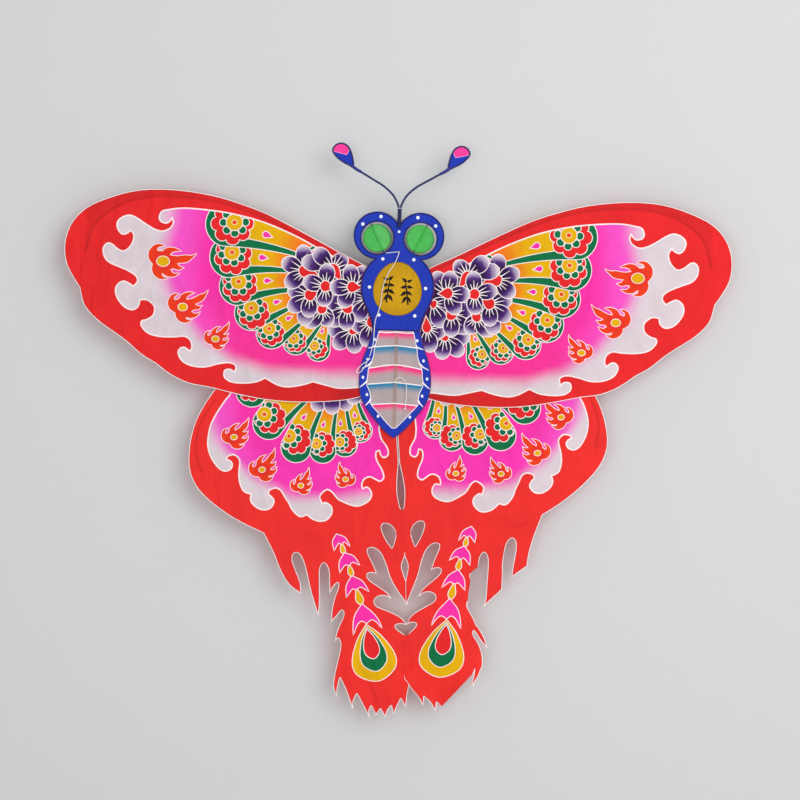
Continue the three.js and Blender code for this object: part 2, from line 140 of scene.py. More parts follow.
def feed(tree, socket, value):
    """Gives an input an output socket, a number or a colour."""
    if isinstance(value, bpy.types.NodeSocket):
        tree.links.new(value, socket)
    elif isinstance(value, (int, float)):
        socket.default_value = value
    else:
        socket.default_value = (*value, 1)


def textured(tree, kind, stretch, source=None, **values):
    """A texture node stretched by (x, y, z), read at `source`, or in object space without it."""
    if source is None:
        source = add_node(tree, "ShaderNodeTexCoord").outputs["Object"]
    mapping = add_node(tree, "ShaderNodeMapping", Scale=stretch)
    texture = add_node(tree, kind, **values)
    feed(tree, mapping.inputs["Vector"], source)
    feed(tree, texture.inputs["Vector"], mapping.outputs["Vector"])
    return texture


def mix_colour(tree, factor, first, second, blend="MIX"):
    """A colour mix; each of the three is an output socket or a value."""
    node = add_node(tree, "ShaderNodeMix", data_type="RGBA", blend_type=blend)
    for index, value in ((0, factor), (6, first), (7, second)):
        feed(tree, node.inputs[index], value)
    return node.outputs[2]


def mix_surface(tree, factor, first, second):
    """Makes the material's surface a mix of two shader nodes."""
    node = add_node(tree, "ShaderNodeMixShader")
    for index, value in ((0, factor), (1, first.outputs[0]), (2, second.outputs[0])):
        feed(tree, node.inputs[index], value)
    feed(tree, tree.nodes["Material Output"].inputs["Surface"], node.outputs[0])


def bump(tree, shader, height, distance, strength=1.0, beneath=None):
    """Gives the shader a bump, laid over the normal `beneath` if there is one."""
    node = add_node(tree, "ShaderNodeBump", Strength=strength, Distance=distance)
    feed(tree, node.inputs["Height"], height)
    if beneath is not None:
        feed(tree, node.inputs["Normal"], beneath)
    feed(tree, shader.inputs["Normal"], node.outputs["Normal"])


EVEN = (1, 1, 1)  # a texture that isn't stretched
THREADS_PER_MM = 2.4
WEAVE = 0.00006  # depth of the weave in metres
CREASE = 0.03  # depth of the soft folds in the silk, in metres for a full swing of the noise
CREASE_SWING = 0.08  # the noise is folded back and forth over this much, which makes the folds' ridges
WAVE_UNIT = 20 / (2 * math.pi)  # bands of a wave texture in one unit of length


def cloth_material(name, glow, roughness=0.6):
    """Dyed silk: the dye and painted shade carried on the mesh, uneven in tone, a plain weave and some light
    through.
    """
    made, tree, shader = node_material(name, roughness, Specular_IOR_Level=0.12)
    # The mesh's colour attribute holds the dye together with painted shade.
    dye_and_shade = add_node(tree, "ShaderNodeAttribute", attribute_name="dye_and_shade")
    blotch = textured(tree, "ShaderNodeTexNoise", EVEN, Scale=38.0, Detail=6.0, Roughness=0.6)
    shade = add_node(tree, "ShaderNodeMapRange")
    for index, value in enumerate((blotch.outputs[0], 0.3, 0.7, 0.93, 1.04)):
        feed(tree, shade.inputs[index], value)
    grey = add_node(tree, "ShaderNodeCombineColor")
    for channel in range(3):
        feed(tree, grey.inputs[channel], shade.outputs[0])
    colour = mix_colour(tree, 1.0, dye_and_shade.outputs["Color"], grey.outputs[0], "MULTIPLY")
    feed(tree, shader.inputs["Base Color"], colour)
    scale = THREADS_PER_MM / MM / WAVE_UNIT
    warp = textured(tree, "ShaderNodeTexWave", EVEN, bands_direction="X", Scale=scale)
    weft = textured(tree, "ShaderNodeTexWave", EVEN, bands_direction="Z", Scale=scale)
    weave = mix_colour(tree, 0.5, warp.outputs[0], weft.outputs[0])
    folds = textured(tree, "ShaderNodeTexNoise", (1, 1, 0.55), Scale=11.0, Detail=3.0, Roughness=0.5,
                     Distortion=0.6)
    ridge = add_node(tree, "ShaderNodeMath", operation="PINGPONG")
    feed(tree, ridge.inputs[0], folds.outputs[0])
    feed(tree, ridge.inputs[1], CREASE_SWING)
    crease = add_node(tree, "ShaderNodeBump", Strength=0.5, Distance=CREASE)
    feed(tree, crease.inputs["Height"], ridge.outputs[0])
    bump(tree, shader, weave, WEAVE, 0.6, crease.outputs["Normal"])
    through = add_node(tree, "ShaderNodeBsdfTranslucent")
    feed(tree, through.inputs["Color"], colour)
    mix_surface(tree, glow, shader, through)
    return made


def streaked_material(name, tones, stretch, scale, depth, roughness, grain=False, twist=0.0, **sockets):
    """A material whose colour and surface run in fine streaks, such as bamboo or twisted thread.

    With grain, the streaks follow a tube's `grain` attribute, and twist adds a rope's lay.
    """
    made, tree, shader = node_material(name, roughness, **sockets)
    source = None
    if grain:
        source = add_node(tree, "ShaderNodeAttribute", attribute_name="grain").outputs["Vector"]
    streak = textured(tree, "ShaderNodeTexNoise", stretch, source, Scale=scale, Detail=8.0, Roughness=0.65)
    height = streak.outputs[0]
    if twist:
        lay = add_node(tree, "ShaderNodeTexWave", bands_direction="DIAGONAL", Scale=twist)
        feed(tree, lay.inputs["Vector"], source)
        height = mix_colour(tree, 0.75, height, lay.outputs[0])
    light, dark = tones
    feed(tree, shader.inputs["Base Color"], mix_colour(tree, height, dark, light))
    bump(tree, shader, height, depth)
    return made


SILK = cloth_material("silk", 0.22)
SKIN = cloth_material("skin_silk", 0.1, 0.5)
BAMBOO_TONES = (linear(226, 196, 138), linear(150, 106, 54))
THREAD_TONES = (linear(252, 250, 244), linear(190, 184, 172))
VINYL_TONES = (linear(188, 192, 196), linear(150, 156, 162))
WIRE_TONES = (linear(20, 28, 106), linear(6, 8, 48))
FOIL_TONES = (linear(44, 186, 58), linear(18, 138, 36))
NAVY_TONES = (linear(24, 34, 140), NAVY)
BAMBOO_UP = streaked_material("bamboo_upright", BAMBOO_TONES, (1, 1, 0.03), 900, 0.0001, 0.42)
BAMBOO_ACROSS = streaked_material("bamboo_across", BAMBOO_TONES, (0.03, 1, 1), 900, 0.0001, 0.42)
CANE = streaked_material("cane", BAMBOO_TONES, (1, 1, 0.04), 900, 0.0001, 0.42, grain=True)
THREAD = streaked_material("thread", THREAD_TONES, EVEN, 2600, 0.0002, 0.85, True, 420.0, Sheen_Weight=0.3)
VINYL = streaked_material("vinyl", VINYL_TONES, EVEN, 240, 0.0001, 0.3, Coat_Weight=0.3)
WIRE = streaked_material("wrapped_wire", WIRE_TONES, EVEN, 900, 0.0002, 0.5)
FOIL = streaked_material("green_foil", FOIL_TONES, EVEN, 160, 0.0002, 0.42, Coat_Weight=0.12)
HEM = streaked_material("red_hem", (RED * 0.95, RED * 0.7), EVEN, 1500, 0.0001, 0.7)
NAVY_HEM = streaked_material("navy_hem", NAVY_TONES, EVEN, 900, 0.0001, 0.5)

# ---------------------------------------------------------------- flat geometry, points as (out, up) in mm


def smooth(points, steps=4):
    """Points along a smooth line through the given ones, which are flat or in space."""
    if len(points) == 2:
        return [tuple(p) for p in points]
    first = [2 * a - b for a, b in zip(points[0], points[1])]
    last = [2 * a - b for a, b in zip(points[-1], points[-2])]
    knots = [first, *points, last]
    made = []

    def between(p, q, r, s, t):
        bend = (2 * p - 5 * q + 4 * r - s) * t**2 + (3 * q - p - 3 * r + s) * t**3
        return 0.5 * (2 * q + (r - p) * t + bend)
    for i in range(1, len(knots) - 2):
        for k in range(steps):
            made.append(tuple(between(*row, k / steps) for row in zip(*knots[i - 1:i + 3])))
    return [*made, tuple(points[-1])]


def outline(runs, steps=4):
    """A closed outline from runs that meet at sharp corners."""
    return [p for run in runs for p in smooth(run, steps)[:-1]]


def signed_area(points):
    return 0.5 * sum(a[0] * b[1] - b[0] * a[1] for a, b in zip(points, [*points[1:], points[0]]))


def unit(x, z):
    length = math.hypot(x, z) or 1
    return x / length, z / length


def stepped(point, way, along, across=0.0):
    """The point moved along a unit direction, and across it to the left."""
    return (point[0] + way[0] * along - way[1] * across, point[1] + way[1] * along + way[0] * across)


def grown(points, distance):
    """The closed outline moved outwards, its corners kept sharp up to a limit."""
    turn = distance if signed_area(points) > 0 else -distance
    made = []
    for i, (x, z) in enumerate(points):
        before, after = points[i - 1], points[(i + 1) % len(points)]
        n1 = unit(z - before[1], before[0] - x)
        n2 = unit(after[1] - z, x - after[0])
        reach = turn / max(1 + n1[0] * n2[0] + n1[1] * n2[1], 0.35)
        made.append((x + (n1[0] + n2[0]) * reach, z + (n1[1] + n2[1]) * reach))
    return made


def stroke(points, half):
    """A thin closed shape along an open line; half is one width or one for each point."""
    halves = half if isinstance(half, (list, tuple)) else [half] * len(points)
    left, right = [], []
    for i, p in enumerate(points):
        a, b = points[max(i - 1, 0)], points[min(i + 1, len(points) - 1)]
        way = unit(b[0] - a[0], b[1] - a[1])
        left.append(stepped(p, way, 0, halves[i]))
        right.append(stepped(p, way, 0, -halves[i]))
    return [*left, *reversed(right)]


def circle_angles(count, offset=0.0):
    """Angles spread evenly over a full turn."""
    return [2 * math.pi * (k + offset) / count for k in range(count)]


def ellipse(centre, along, across, direction=0.0, count=20):
    way = (math.cos(direction), math.sin(direction))
    return [stepped(centre, way, along * math.cos(a), across * math.sin(a)) for a in circle_angles(count)]


def drop(point, bulb, half_width, steps=4, shoulder=0.38):
    """A teardrop from its sharp point to the far side of its bulb; a bigger shoulder makes it fuller."""
    u = unit(bulb[0] - point[0], bulb[1] - point[1])
    length = math.dist(point, bulb)

    def at(t, side):
        return stepped(point, u, t * length, side * half_width)
    return outline([[at(0, 0), at(0.25, shoulder), at(0.6, 0.95), at(0.85, 0.8), at(1, 0),
                     at(0.85, -0.8), at(0.6, -0.95), at(0.25, -shoulder), at(0, 0)]], steps)


def hull(points):
    """The smallest outline without dents that holds the points."""
    def half(ordered):
        chain = []
        for p in ordered:
            while len(chain) > 1:
                (ax, az), (bx, bz) = chain[-2:]
                if (bx - ax) * (p[1] - az) - (bz - az) * (p[0] - ax) > 0:
                    break
                chain.pop()
            chain.append(p)
        return chain[:-1]
    ordered = sorted(set(points))
    return half(ordered) + half(ordered[::-1])


def ramp(value, start, end):
    """From 0 at start to 1 at end, easing in and out."""
    t = min(max((value - start) / (end - start), 0), 1)
    return t * t * (3 - 2 * t)


def ripple(x, z, wide, high, seed):
    """Smooth noise from about -1 to 1, its swells `wide` by `high`."""
    return noise.noise(Vector((x / wide, z / high, seed)))


def blend_colours(first, second, t):
    t = ramp(t, 0, 1)
    return first * (1 - t) + second * t


class Print:
    """Regions of dye and painted shade in painter's order: each later one covers those before it."""

    def __init__(self):
        self.regions = []
        self.loose = []  # extra mesh points, where a colour needs them

    def add(self, points, colour, halo=0.0, within=(), halo_colour=LINE):
        """Adds a region, with a resist line round it, and returns its number.

        It shows only inside the regions numbered in `within`.
        """
        if halo:
            self.regions.append((grown(points, halo), halo_colour, tuple(within)))
        self.regions.append((points, colour, tuple(within)))
        return len(self.regions) - 1


# ---------------------------------------------------------------- meshes, and painted cloth


def mesh_object(name, vertices, faces, material, rounded=None):
    """A mesh in the scene; rounded says for each face whether it is shaded smooth, as all are without it."""
    mesh = bpy.data.meshes.new(name)
    mesh.from_pydata(vertices, [], faces)
    mesh.polygons.foreach_set("use_smooth", rounded or [True] * len(faces))
    mesh.materials.append(material)
    made = bpy.data.objects.new(name, mesh)
    bpy.context.collection.objects.link(made)
    return made


def loops_of(name):
    """The front outlines of a flat CAD node in mm, the outer one first."""
    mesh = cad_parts[name].data
    edges = {}
    for polygon in mesh.polygons:
        if polygon.normal.y > -0.9:
            continue
        corners = [tuple(round(mesh.vertices[i].co[k] / MM, 3) for k in (0, 2)) for i in polygon.vertices]
        for a, b in zip(corners, corners[1:] + corners[:1]):
            if edges.get(b, {}).pop(a, None) is None:
                edges.setdefault(a, {})[b] = True
    loops = []
    while any(edges.values()):
        start = next(a for a in edges if edges[a])
        loop, here = [], start
        while edges.get(here):
            loop.append(here)
            here = edges[here].popitem()[0]
        loops.append(loop)
    return sorted(loops, key=lambda loop: -abs(signed_area(loop)))


def rim_strokes(loop, half, sharp=math.radians(40)):
    """Thin shapes along a closed outline, broken at its sharp corners."""
    count = len(loop)
    corners = []
    for i, p in enumerate(loop):
        a, b = loop[i - 1], loop[(i + 1) % count]
        turn = math.atan2(b[1] - p[1], b[0] - p[0]) - math.atan2(p[1] - a[1], p[0] - a[0])
        if abs((turn + math.pi) % (2 * math.pi) - math.pi) > sharp:
            corners.append(i)
    corners = corners or [0]
    made = []
    for first, last in zip(corners, [*corners[1:], corners[0] + count]):
        made.append(stroke([loop[i % count] for i in range(first, last + 1)], half))
    return made


NEARNESS = 1e-4  # points of a sheet nearer than this are one, in mm
GRID_START = (0.37, 0.41)  # keeps the grid of a sheet's inner points off its straight edges


def painted(name, loops, dye_and_shade, place, depth, material, base, grid=5.0, rim=0.0, rim_colour=LINE, seams=()):
    """A sheet cut to the loops in mm and coloured by the regions of a Print, dye and painted shade alike.

    place turns a region's (out, up) into the sheet's (x, z), and depth gives y in mm at (x, z). A pale rim is
    hidden inside the seams.
    """
    shapes = [(loops[0], base, ())]
    shapes += [([place(p) for p in points], colour, tuple(w + 1 for w in within))
               for points, colour, within in dye_and_shade.regions]
    if rim:
        shapes += [(points, rim_colour, ()) for loop in loops for points in rim_strokes(loop, rim)]
        shapes += [(points, base, ()) for points in seams]
    hole_from = len(shapes)
    shapes += [(loop, None, ()) for loop in loops[1:]]
    points, faces = [], []
    for shape, _, _ in shapes:
        shape = shape if signed_area(shape) > 0 else shape[::-1]
        faces.append(list(range(len(points), len(points) + len(shape))))
        points += [Vector(p) for p in shape]
    low = [min(p[k] for p in loops[0]) for k in (0, 1)]
    high = [max(p[k] for p in loops[0]) for k in (0, 1)]
    for row in range(int((high[1] - low[1]) / grid) + 1):
        for column in range(int((high[0] - low[0]) / grid) + 1):
            shift = 0.5 * (row % 2)
            points.append(Vector((low[0] + (column + shift + GRID_START[0]) * grid,
                                  low[1] + (row + GRID_START[1]) * grid)))
    points += [Vector(place(p)) for p in dye_and_shade.loose]
    flat, _, triangles, _, _, sources = delaunay_2d_cdt(points, [], faces, 0, NEARNESS, True)
    kept, colours = [], []
    for triangle, ids in zip(triangles, sources):
        inside = set(ids)
        if 0 not in inside or any(i >= hole_from for i in inside):
            continue
        top = next(i for i in sorted(inside, reverse=True) if all(w in inside for w in shapes[i][2]))
        kept.append(triangle)
        colours.append(shapes[top][1])
    used = sorted({i for t in kept for i in t})
    order = {old: new for new, old in enumerate(used)}
    vertices = [(flat[i][0] * MM, depth(*flat[i]) * MM, flat[i][1] * MM) for i in used]
    made = mesh_object(name, vertices, [[order[i] for i in t] for t in kept], material)
    values = []
    for triangle, colour in zip(kept, colours):
        for i in triangle:
            value = colour(*flat[i]) if callable(colour) else colour
            values += [*value, 1.0]
    # Each corner's colour, whether dye or painted shade.
    layer = made.data.color_attributes.new("dye_and_shade", "FLOAT_COLOR", "CORNER")
    layer.data.foreach_set("color", values)
    made["flat_area"] = sum(p.area for p in made.data.polygons)
    return made


def stretched(node):
    """Hides the CAD node that a painted sheet takes the place of."""
    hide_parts(node)


# ---------------------------------------------------------------- the print, one side, (out, up) in mm

UPPER_FIELD = [
    [(20, 18), (48, 18), (64, 22), (78, 36), (97, 46), (120, 58), (148, 70), (172, 78), (199, 84),
     (220, 87), (245, 89), (262, 89), (275, 87), (283, 85), (286, 79), (284, 74), (277, 73), (271, 80)],
    [(271, 80), (269, 72), (273, 65), (282, 61), (292, 63), (303, 69), (314, 76), (322, 79), (330, 77),
     (336, 71), (335, 63), (330, 58), (324, 60), (321, 64)],
    [(321, 64), (316, 57), (317, 48), (322, 40), (329, 36), (337, 39), (343, 44), (348, 45), (352, 40),
     (351, 31), (345, 24), (333, 19), (321, 14), (312, 8), (310, 1), (315, -6)],
    [(315, -6), (322, -2), (328, 0), (334, -4), (336, -11), (333, -20), (325, -29), (316, -32),
     (310, -28), (308, -20)],
    [(308, -20), (298, -20), (289, -28), (290, -39), (298, -45), (304, -47), (303, -53), (295, -60),
     (282, -63), (265, -63), (253, -62), (245, -67), (243, -76), (246, -82)],
    [(246, -82), (253, -77), (258, -79), (259, -84), (254, -92), (243, -97), (228, -98), (213, -94),
     (199, -92), (190, -96), (191, -106)],
    [(191, -106), (197, -102), (203, -103), (203, -110), (195, -115), (180, -116), (166, -114),
     (155, -109)],
    [(155, -109), (140, -117), (127, -119), (110, -116), (98, -112)],
    [(98, -112), (81, -116), (65, -119), (41, -117)],
    [(41, -117), (20, -117)],
    [(20, -117), (20, 18)],
]
LOWER_FIELD = [
    [(190, -90), (194, -110), (202, -120), (212, -133), (220, -146), (224, -158), (226, -171),
     (224, -183), (220, -192), (214, -200), (208, -203), (202, -201), (200, -196), (203, -192),
     (207, -191)],
    [(207, -191), (205, -186), (197, -184), (191, -188), (189, -194), (191, -206), (191, -217),
     (188, -227), (183, -231), (178, -232)],
    [(178, -232), (179, -241), (174, -248), (166, -252), (158, -251), (153, -244), (156, -238),
     (159, -236)],
    [(159, -236), (158, -230), (150, -227), (143, -230), (138, -239), (134, -246), (130, -255),
     (122, -263), (114, -261)],
    [(114, -261), (107, -267), (99, -270), (91, -269), (85, -262), (85, -255), (91, -250), (95, -252)],
    [(95, -252), (98, -241), (89, -233), (82, -236), (76, -244), (71, -248), (54, -255), (40, -250),
     (36, -242), (40, -235), (46, -237)],
    [(46, -237), (47, -231), (44, -224), (36, -221), (28, -225), (24, -227), (20, -223), (22, -214),
     (26, -206), (28, -199), (27, -192), (22, -190)],
    [(22, -190), (20, -197), (17, -199), (13, -196), (14, -188), (20, -178), (22, -167)],
    [(22, -167), (20, -90)],
    [(20, -90), (190, -90)],
]

# Feathers, outermost last: the circle of the head, of the red scallops and of the yellow middle as
# (out, up, radius), and the root of the green band below the shaft.
UPPER_FEATHERS = [
    ((92.5, -74.5, 13.5), (93.5, -73, 11.8), (97.5, -70, 5.7), (80, -47)),
    ((119.5, -65.5, 15.5), (120.5, -64.5, 13.5), (122.5, -62, 6.5), (89, -41)),
    ((149, -56.5, 18), (149.5, -55.5, 15.8), (152, -51, 7.5), (109, -38)),
    ((173, -33, 20.5), (171, -33, 19), (174, -27, 8.5), (124, -23)),
    ((190, -1.5, 22.5), (188.5, 0.2, 21), (190, 4.2, 9), (120, -3)),
    ((200, 33.5, 25), (197.5, 34.5, 22.3), (199, 39, 9), (130, 19)),
    ((204, 72.5, 27), (199.5, 73.5, 25.3), (197, 75, 9.4), (118, 38)),
]
UPPER_TOP = (98, 48)
LOWER_FEATHERS = [
    ((44, -165.5, 14.3), (42.5, -166, 11.5), (46, -167, 4.6), (46, -134)),
    ((63, -181, 14.6), (62, -178, 13.5), (69, -178, 5.6), (60, -138)),
    ((90, -186, 15.6), (90, -179.5, 14.8), (97, -178, 6.5), (74, -146)),
    ((121.5, -181, 17.8), (121, -171.5, 17.8), (129, -167, 8), (93, -142)),
    ((152, -150, 19), (150.5, -143.5, 19), (157, -139, 8.6), (112, -128)),
]
LOWER_LAST = {-1: ((170, -110, 19), (172, -106, 16.5), (175, -102, 8), (140, -98)),
              1: ((183, -125, 19.5), (184, -121, 17.8), (188, -118, 8), (148, -104))}
LOWER_TOP = (185, -85)

# Blossoms, lowest first: the point and the far side of the red heart, its half width, and the middle of
# each petal.
UPPER_BLOSSOMS = [
    ((45, -34), (54, -55), 5.8, [(70, -50), (65, -63), (50, -65)]),
    ((29, -27), (31, -46), 5.2, [(42, -43), (34, -57)]),
    ((32, -10), (41, -13), 5, [(47, -13), (44, -28)]),
    ((54, -16), (62.5, -29), 6.5, [(73, -18.5), (71.5, -36), (59.5, -38)]),
    ((84, -15), (92, -31), 5.2, [(85, -35), (99, -38)]),
    ((94, -5), (110, -12), 6.6, [(109, -34), (119, -6), (119.5, -21), (105, -24)]),
    ((95, 14.5), (118, 21.5), 7.6, [(113, 38), (127.5, 26), (124, 8)]),
    ((67, 8), (81, 28), 6.2, [(70.5, 31), (103, 29), (91.5, 37)]),
    ((75, -1), (92, 3), 6.2, [(85, 16.5), (101, 5), (87, -10.5)]),
    ((43, 1), (60, 2), 6.4, [(44, 16), (56, 16), (61, -12), (68.5, 1)]),
]
LOWER_BLOSSOMS = [
    ((74, -100), (75, -117), 7, [(61, -129.5), (90, -128.5), (75.5, -132)]),
    ((40, -100), (44, -112), 6, [(36, -122), (48, -122)]),
]
PETAL_LONG, PETAL_WIDE = 11.9, 9.2  # half sizes of a petal
PETAL_TONES = [(0.0, DEEP_VIOLET), (0.4, DEEP_VIOLET * 1.3), (0.64, VIOLET), (0.8, LILAC), (0.94, PETAL_EDGE)]
VEIN_SPREAD = 7.6  # half width of a petal's fan of veins at its middle
VEIN_STEP = 0.34  # the angle between two veins

# Flames: the middle of the dot, the end of the longest tongue, and the dot's half width.
UPPER_FLAMES = [((281, 26), (241, 36), 7.4), ((256, -28), (226, -7), 5.4), ((216, -65), (200, -44), 4.2)]
LOWER_FLAMES = [((195, -164), (176, -142), 3.7), ((164, -205), (147, -180), 3.7),
                ((119, -227), (108, -206), 3.3), ((65, -223), (71, -202), 3.3)]
# The largest flame's outline round its yellow dot, from the end of its longest tongue.
FLAME_DOT, FLAME_TIP = complex(281, 26), complex(241, 36)
FLAME_SHAPE = [
    [(241, 36), (247, 30), (253, 25.5), (264, 24)],
    [(264, 24), (261, 20.5), (256, 19)],
    [(256, 19), (262, 16), (268, 17.5), (272, 16.5)],
    [(272, 16.5), (268, 12), (261, 12)],
    [(261, 12), (267, 8), (275, 8), (282, 12)],
    [(282, 12), (281, 8), (275, 5.5)],
    [(275, 5.5), (284, 4.5), (291, 9), (294, 16), (293, 22)],
    [(293, 22), (298, 29), (298, 38), (292, 45), (285, 46.5), (280, 44.5)],
    [(280, 44.5), (287, 42.5), (288, 38.5), (282, 38)],
    [(282, 38), (277, 42), (268, 42.5), (259, 38.5)],
    [(259, 38.5), (266, 38.5), (271, 36.5), (273, 33.5)],
    [(273, 33.5), (264, 32.5), (254, 34), (248, 33.5), (241, 36)],
]

# Arrowheads down each tail: apex, outer tip, inner tip, notch, and the end of the drop below the notch.
ARROWS = [
    ((80, -288), (84, -306), (65, -303), (75, -299), (73, -311)),
    ((72, -311), (79, -333), (55, -326), (68, -325), (65, -339)),
    ((65, -339), (73, -363), (46, -358), (61, -354), (56, -373)),
]
TAIL_CROWN = [
    [(55, -373), (65, -388), (68, -409)],
    [(68, -409), (63, -398), (57, -393), (51, -396)],
    [(51, -396), (45, -392), (39, -395), (33, -403)],
    [(33, -403), (40, -388), (55, -373)],
]
EYE_SPOTS = [((51.5, -398), (41.5, -465.4), 27, YELLOW), ((51.2, -401.5), (42.3, -453.4), 16, LEAF),
             ((51, -404), (45, -438.5), 9.2, RED)]

RESIST = 1.0  # width of the resist line round a region
RIM = 0.8  # half width of the pale line round each silk
BAND = 2.6  # width of the green band below a feather's shaft
BAND_RADIUS = 22  # smaller feathers have a narrower band
LOBES = 8  # scallops and petals of a feather's flower


def bowed(points, start, end, bow):
    """The closed shape bent sideways between two points, its long edges cut up first."""
    u = unit(end[0] - start[0], end[1] - start[1])
    length = math.dist(start, end)
    made = []
    for a, b in zip(points, [*points[1:], points[0]]):
        count = max(1, round(math.dist(a, b) / 8))
        for k in range(count):
            x, z = a[0] + (b[0] - a[0]) * k / count, a[1] + (b[1] - a[1]) * k / count
            t = min(max(((x - start[0]) * u[0] + (z - start[1]) * u[1]) / length, 0), 1)
            made.append(stepped((x, z), u, 0, bow * 4 * t * (1 - t)))
    return made


def flower(dye_and_shade, radius, ring, middle, source, inside):
    """The flower in a feather's head: a pink drop on the source's side, red scallops, petals and an eye."""
    toward = unit(source[0] - middle[0], source[1] - middle[1])
    start = ring[2] + 0.42 * radius
    bulb, tip = (stepped(middle, toward, reach) for reach in (start, start + 0.42 * radius))
    dye_and_shade.add(drop(tip, bulb, 0.13 * radius), HOT_PINK, RESIST, inside)
    turn = math.atan2(toward[1], toward[0])
    scallops = []
    for part in circle_angles(8 * LOBES):
        angle = turn + part
        r = ring[2] * (0.8 + 0.2 * abs(math.sin(LOBES * (angle - turn) / 2)) ** 0.6)
        scallops.append(stepped(ring, (math.cos(angle), math.sin(angle)), r))
    dye_and_shade.add(scallops, RED, RESIST, inside)
    size = middle[2]
    petals = []
    for part in circle_angles(LOBES, 0.5):
        a = turn + part
        centre = stepped(middle, (math.cos(a), math.sin(a)), 1.42 * size)
        petals.append(ellipse(centre, 0.44 * size, 0.46 * size, a, 12))
    for points in petals:
        dye_and_shade.add(grown(points, 0.9 * RESIST), LINE, 0, inside)
    for points in petals:
        dye_and_shade.add(points, LEAF, 0, inside)
    dye_and_shade.add(ellipse(middle[:2], size, size, count=24), YELLOW, RESIST, inside)
    dye_and_shade.add(ellipse(middle[:2], 0.27 * size, 0.25 * size, count=12), FLAME, 0.14 * size, inside, PALE_YELLOW)


def feather(dye_and_shade, head, ring, middle, root, top, bow, within):
    """One paddle of the fan: green paddle, yellow to orange shaft, and its flower."""
    x, z, radius = head
    band = BAND * min(1, radius / BAND_RADIUS)
    away = unit(root[0] - x, root[1] - z)
    side = (-away[1], away[0])
    if side[0] * (top[0] - root[0]) + side[1] * (top[1] - root[1]) < 0:
        side = (-side[0], -side[1])
    source = ((root[0] + top[0]) / 2, (root[1] + top[1]) / 2)
    full = math.dist(source, (x, z))

    def beside(p, distance):
        return stepped(p, side, distance)

    def shaft_colour(px, pz):
        t = math.dist((px, pz), source) / full + 0.07 * ripple(px, pz, 3, 3, 9)
        return blend_colours(ORANGE, YELLOW, (t - 0.06) / 0.42)
    blade = hull(ellipse((x, z), radius, radius, count=36) + [beside(root, -band), top])
    paddle = dye_and_shade.add(bowed(blade, root, (x, z), bow), LEAF, RESIST, within)
    inside = (*within, paddle)
    shaft = [beside((x, z), -0.52 * radius), beside(root, band), beside(top, 8), beside((x, z), radius + 8)]
    dye_and_shade.add(bowed(shaft, root, (x, z), bow), shaft_colour, RESIST, inside)
    flower(dye_and_shade, radius, ring, middle, source, inside)


def graded(stops, t):
    """The colour at t along a row of (place, colour) stops."""
    for (low, first), (high, second) in zip(stops, stops[1:]):
        if t <= high:
            return blend_colours(first, second, (t - low) / (high - low))
    return stops[-1][1]


def blossom(dye_and_shade, point, far, half_width, petals, within):
    """A fan of violet petals, pale at their rims, with resist veins and a red heart."""
    heart = drop(point, far, half_width)
    u = unit(far[0] - point[0], far[1] - point[1])
    centre = stepped(far, u, -half_width)

    def reach(angle):
        return max((p[0] - centre[0]) * math.cos(angle) + (p[1] - centre[1]) * math.sin(angle) for p in heart)
    for middle in petals:
        angle = math.atan2(middle[1] - centre[1], middle[0] - centre[0])
        near = reach(angle)
        end = math.dist(centre, middle) + PETAL_LONG

        def tone(px, pz, near=near, end=end):
            return graded(PETAL_TONES, (math.dist((px, pz), centre) - near) / (end - near))
        shape = hull([*ellipse(middle, PETAL_LONG, PETAL_WIDE, angle, 24), centre])
        petal = dye_and_shade.add(shape, tone, RESIST, within)
        for share in (0.3, 0.62, 0.8, 0.92):
            dye_and_shade.loose += ellipse(middle, PETAL_LONG * share, PETAL_WIDE * share, angle, 14)
        spread = VEIN_SPREAD / math.dist(centre, middle)
        count = max(2, round(2 * spread / VEIN_STEP))
        for k in range(count):
            a = angle + spread * (2 * (k + 0.5) / count - 1)
            ray = (math.cos(a), math.sin(a))
            start = 0.8 * reach(a)
            stop = reach(a) + (12 if k % 2 else 9) + 2 * math.sin(7 * k + middle[0])
            ends = [stepped(centre, ray, r) for r in (start, stop)]
            dye_and_shade.add(stroke(ends, [0.85, 0.25]), LINE, 0, (*within, petal))
    dye_and_shade.add(heart, RED, RESIST, within)


def flame(dye_and_shade, dot, tip, size, within):
    """The flame shape turned and sized to run from its dot to the end of its longest tongue."""
    turn = complex(*tip) - complex(*dot)
    mirrored_shape = turn.real > 0
    if mirrored_shape:
        turn = complex(-turn.real, turn.imag)
    turn /= FLAME_TIP - FLAME_DOT
    length = math.dist(dot, tip)

    def placed(x, z):
        moved = (complex(x, z) - FLAME_DOT) * turn
        return (dot[0] + (-moved.real if mirrored_shape else moved.real), dot[1] + moved.imag)

    def glow(x, z):
        return blend_colours(RED, FLAME, math.dist((x, z), dot) / (0.5 * length))
    dye_and_shade.add([placed(x, z) for x, z in outline(FLAME_SHAPE, 3)], glow, 0.8, within)
    dye_and_shade.add(ellipse(dot, size, 0.8 * size, count=16), YELLOW, 0.8, within)


def pink_field(centre, out, inward, up, down, low):
    """Hot pink that fades to bare silk away from a centre, as far as each way's reach."""
    def colour(x, z):
        along, rise = x - centre[0], z - centre[1]
        far = abs(along / (out if along > 0 else inward)) ** 1.65
        far += abs(rise / (up if rise > 0 else down)) ** 1.65
        far = far ** 0.6 + 0.04 * ripple(x, z, 30, 30, 4)
        hot = blend_colours(HOT_PINK, low, -rise / down * 1.3)
        pale = blend_colours(hot, PALE_PINK, along / out * 1.6 - 0.4)
        if far < 0.88:
            return blend_colours(hot, pale, (far - 0.6) / 0.28)
        return blend_colours(pale, SILK_WHITE, (far - 0.88) / 0.2)
    return colour


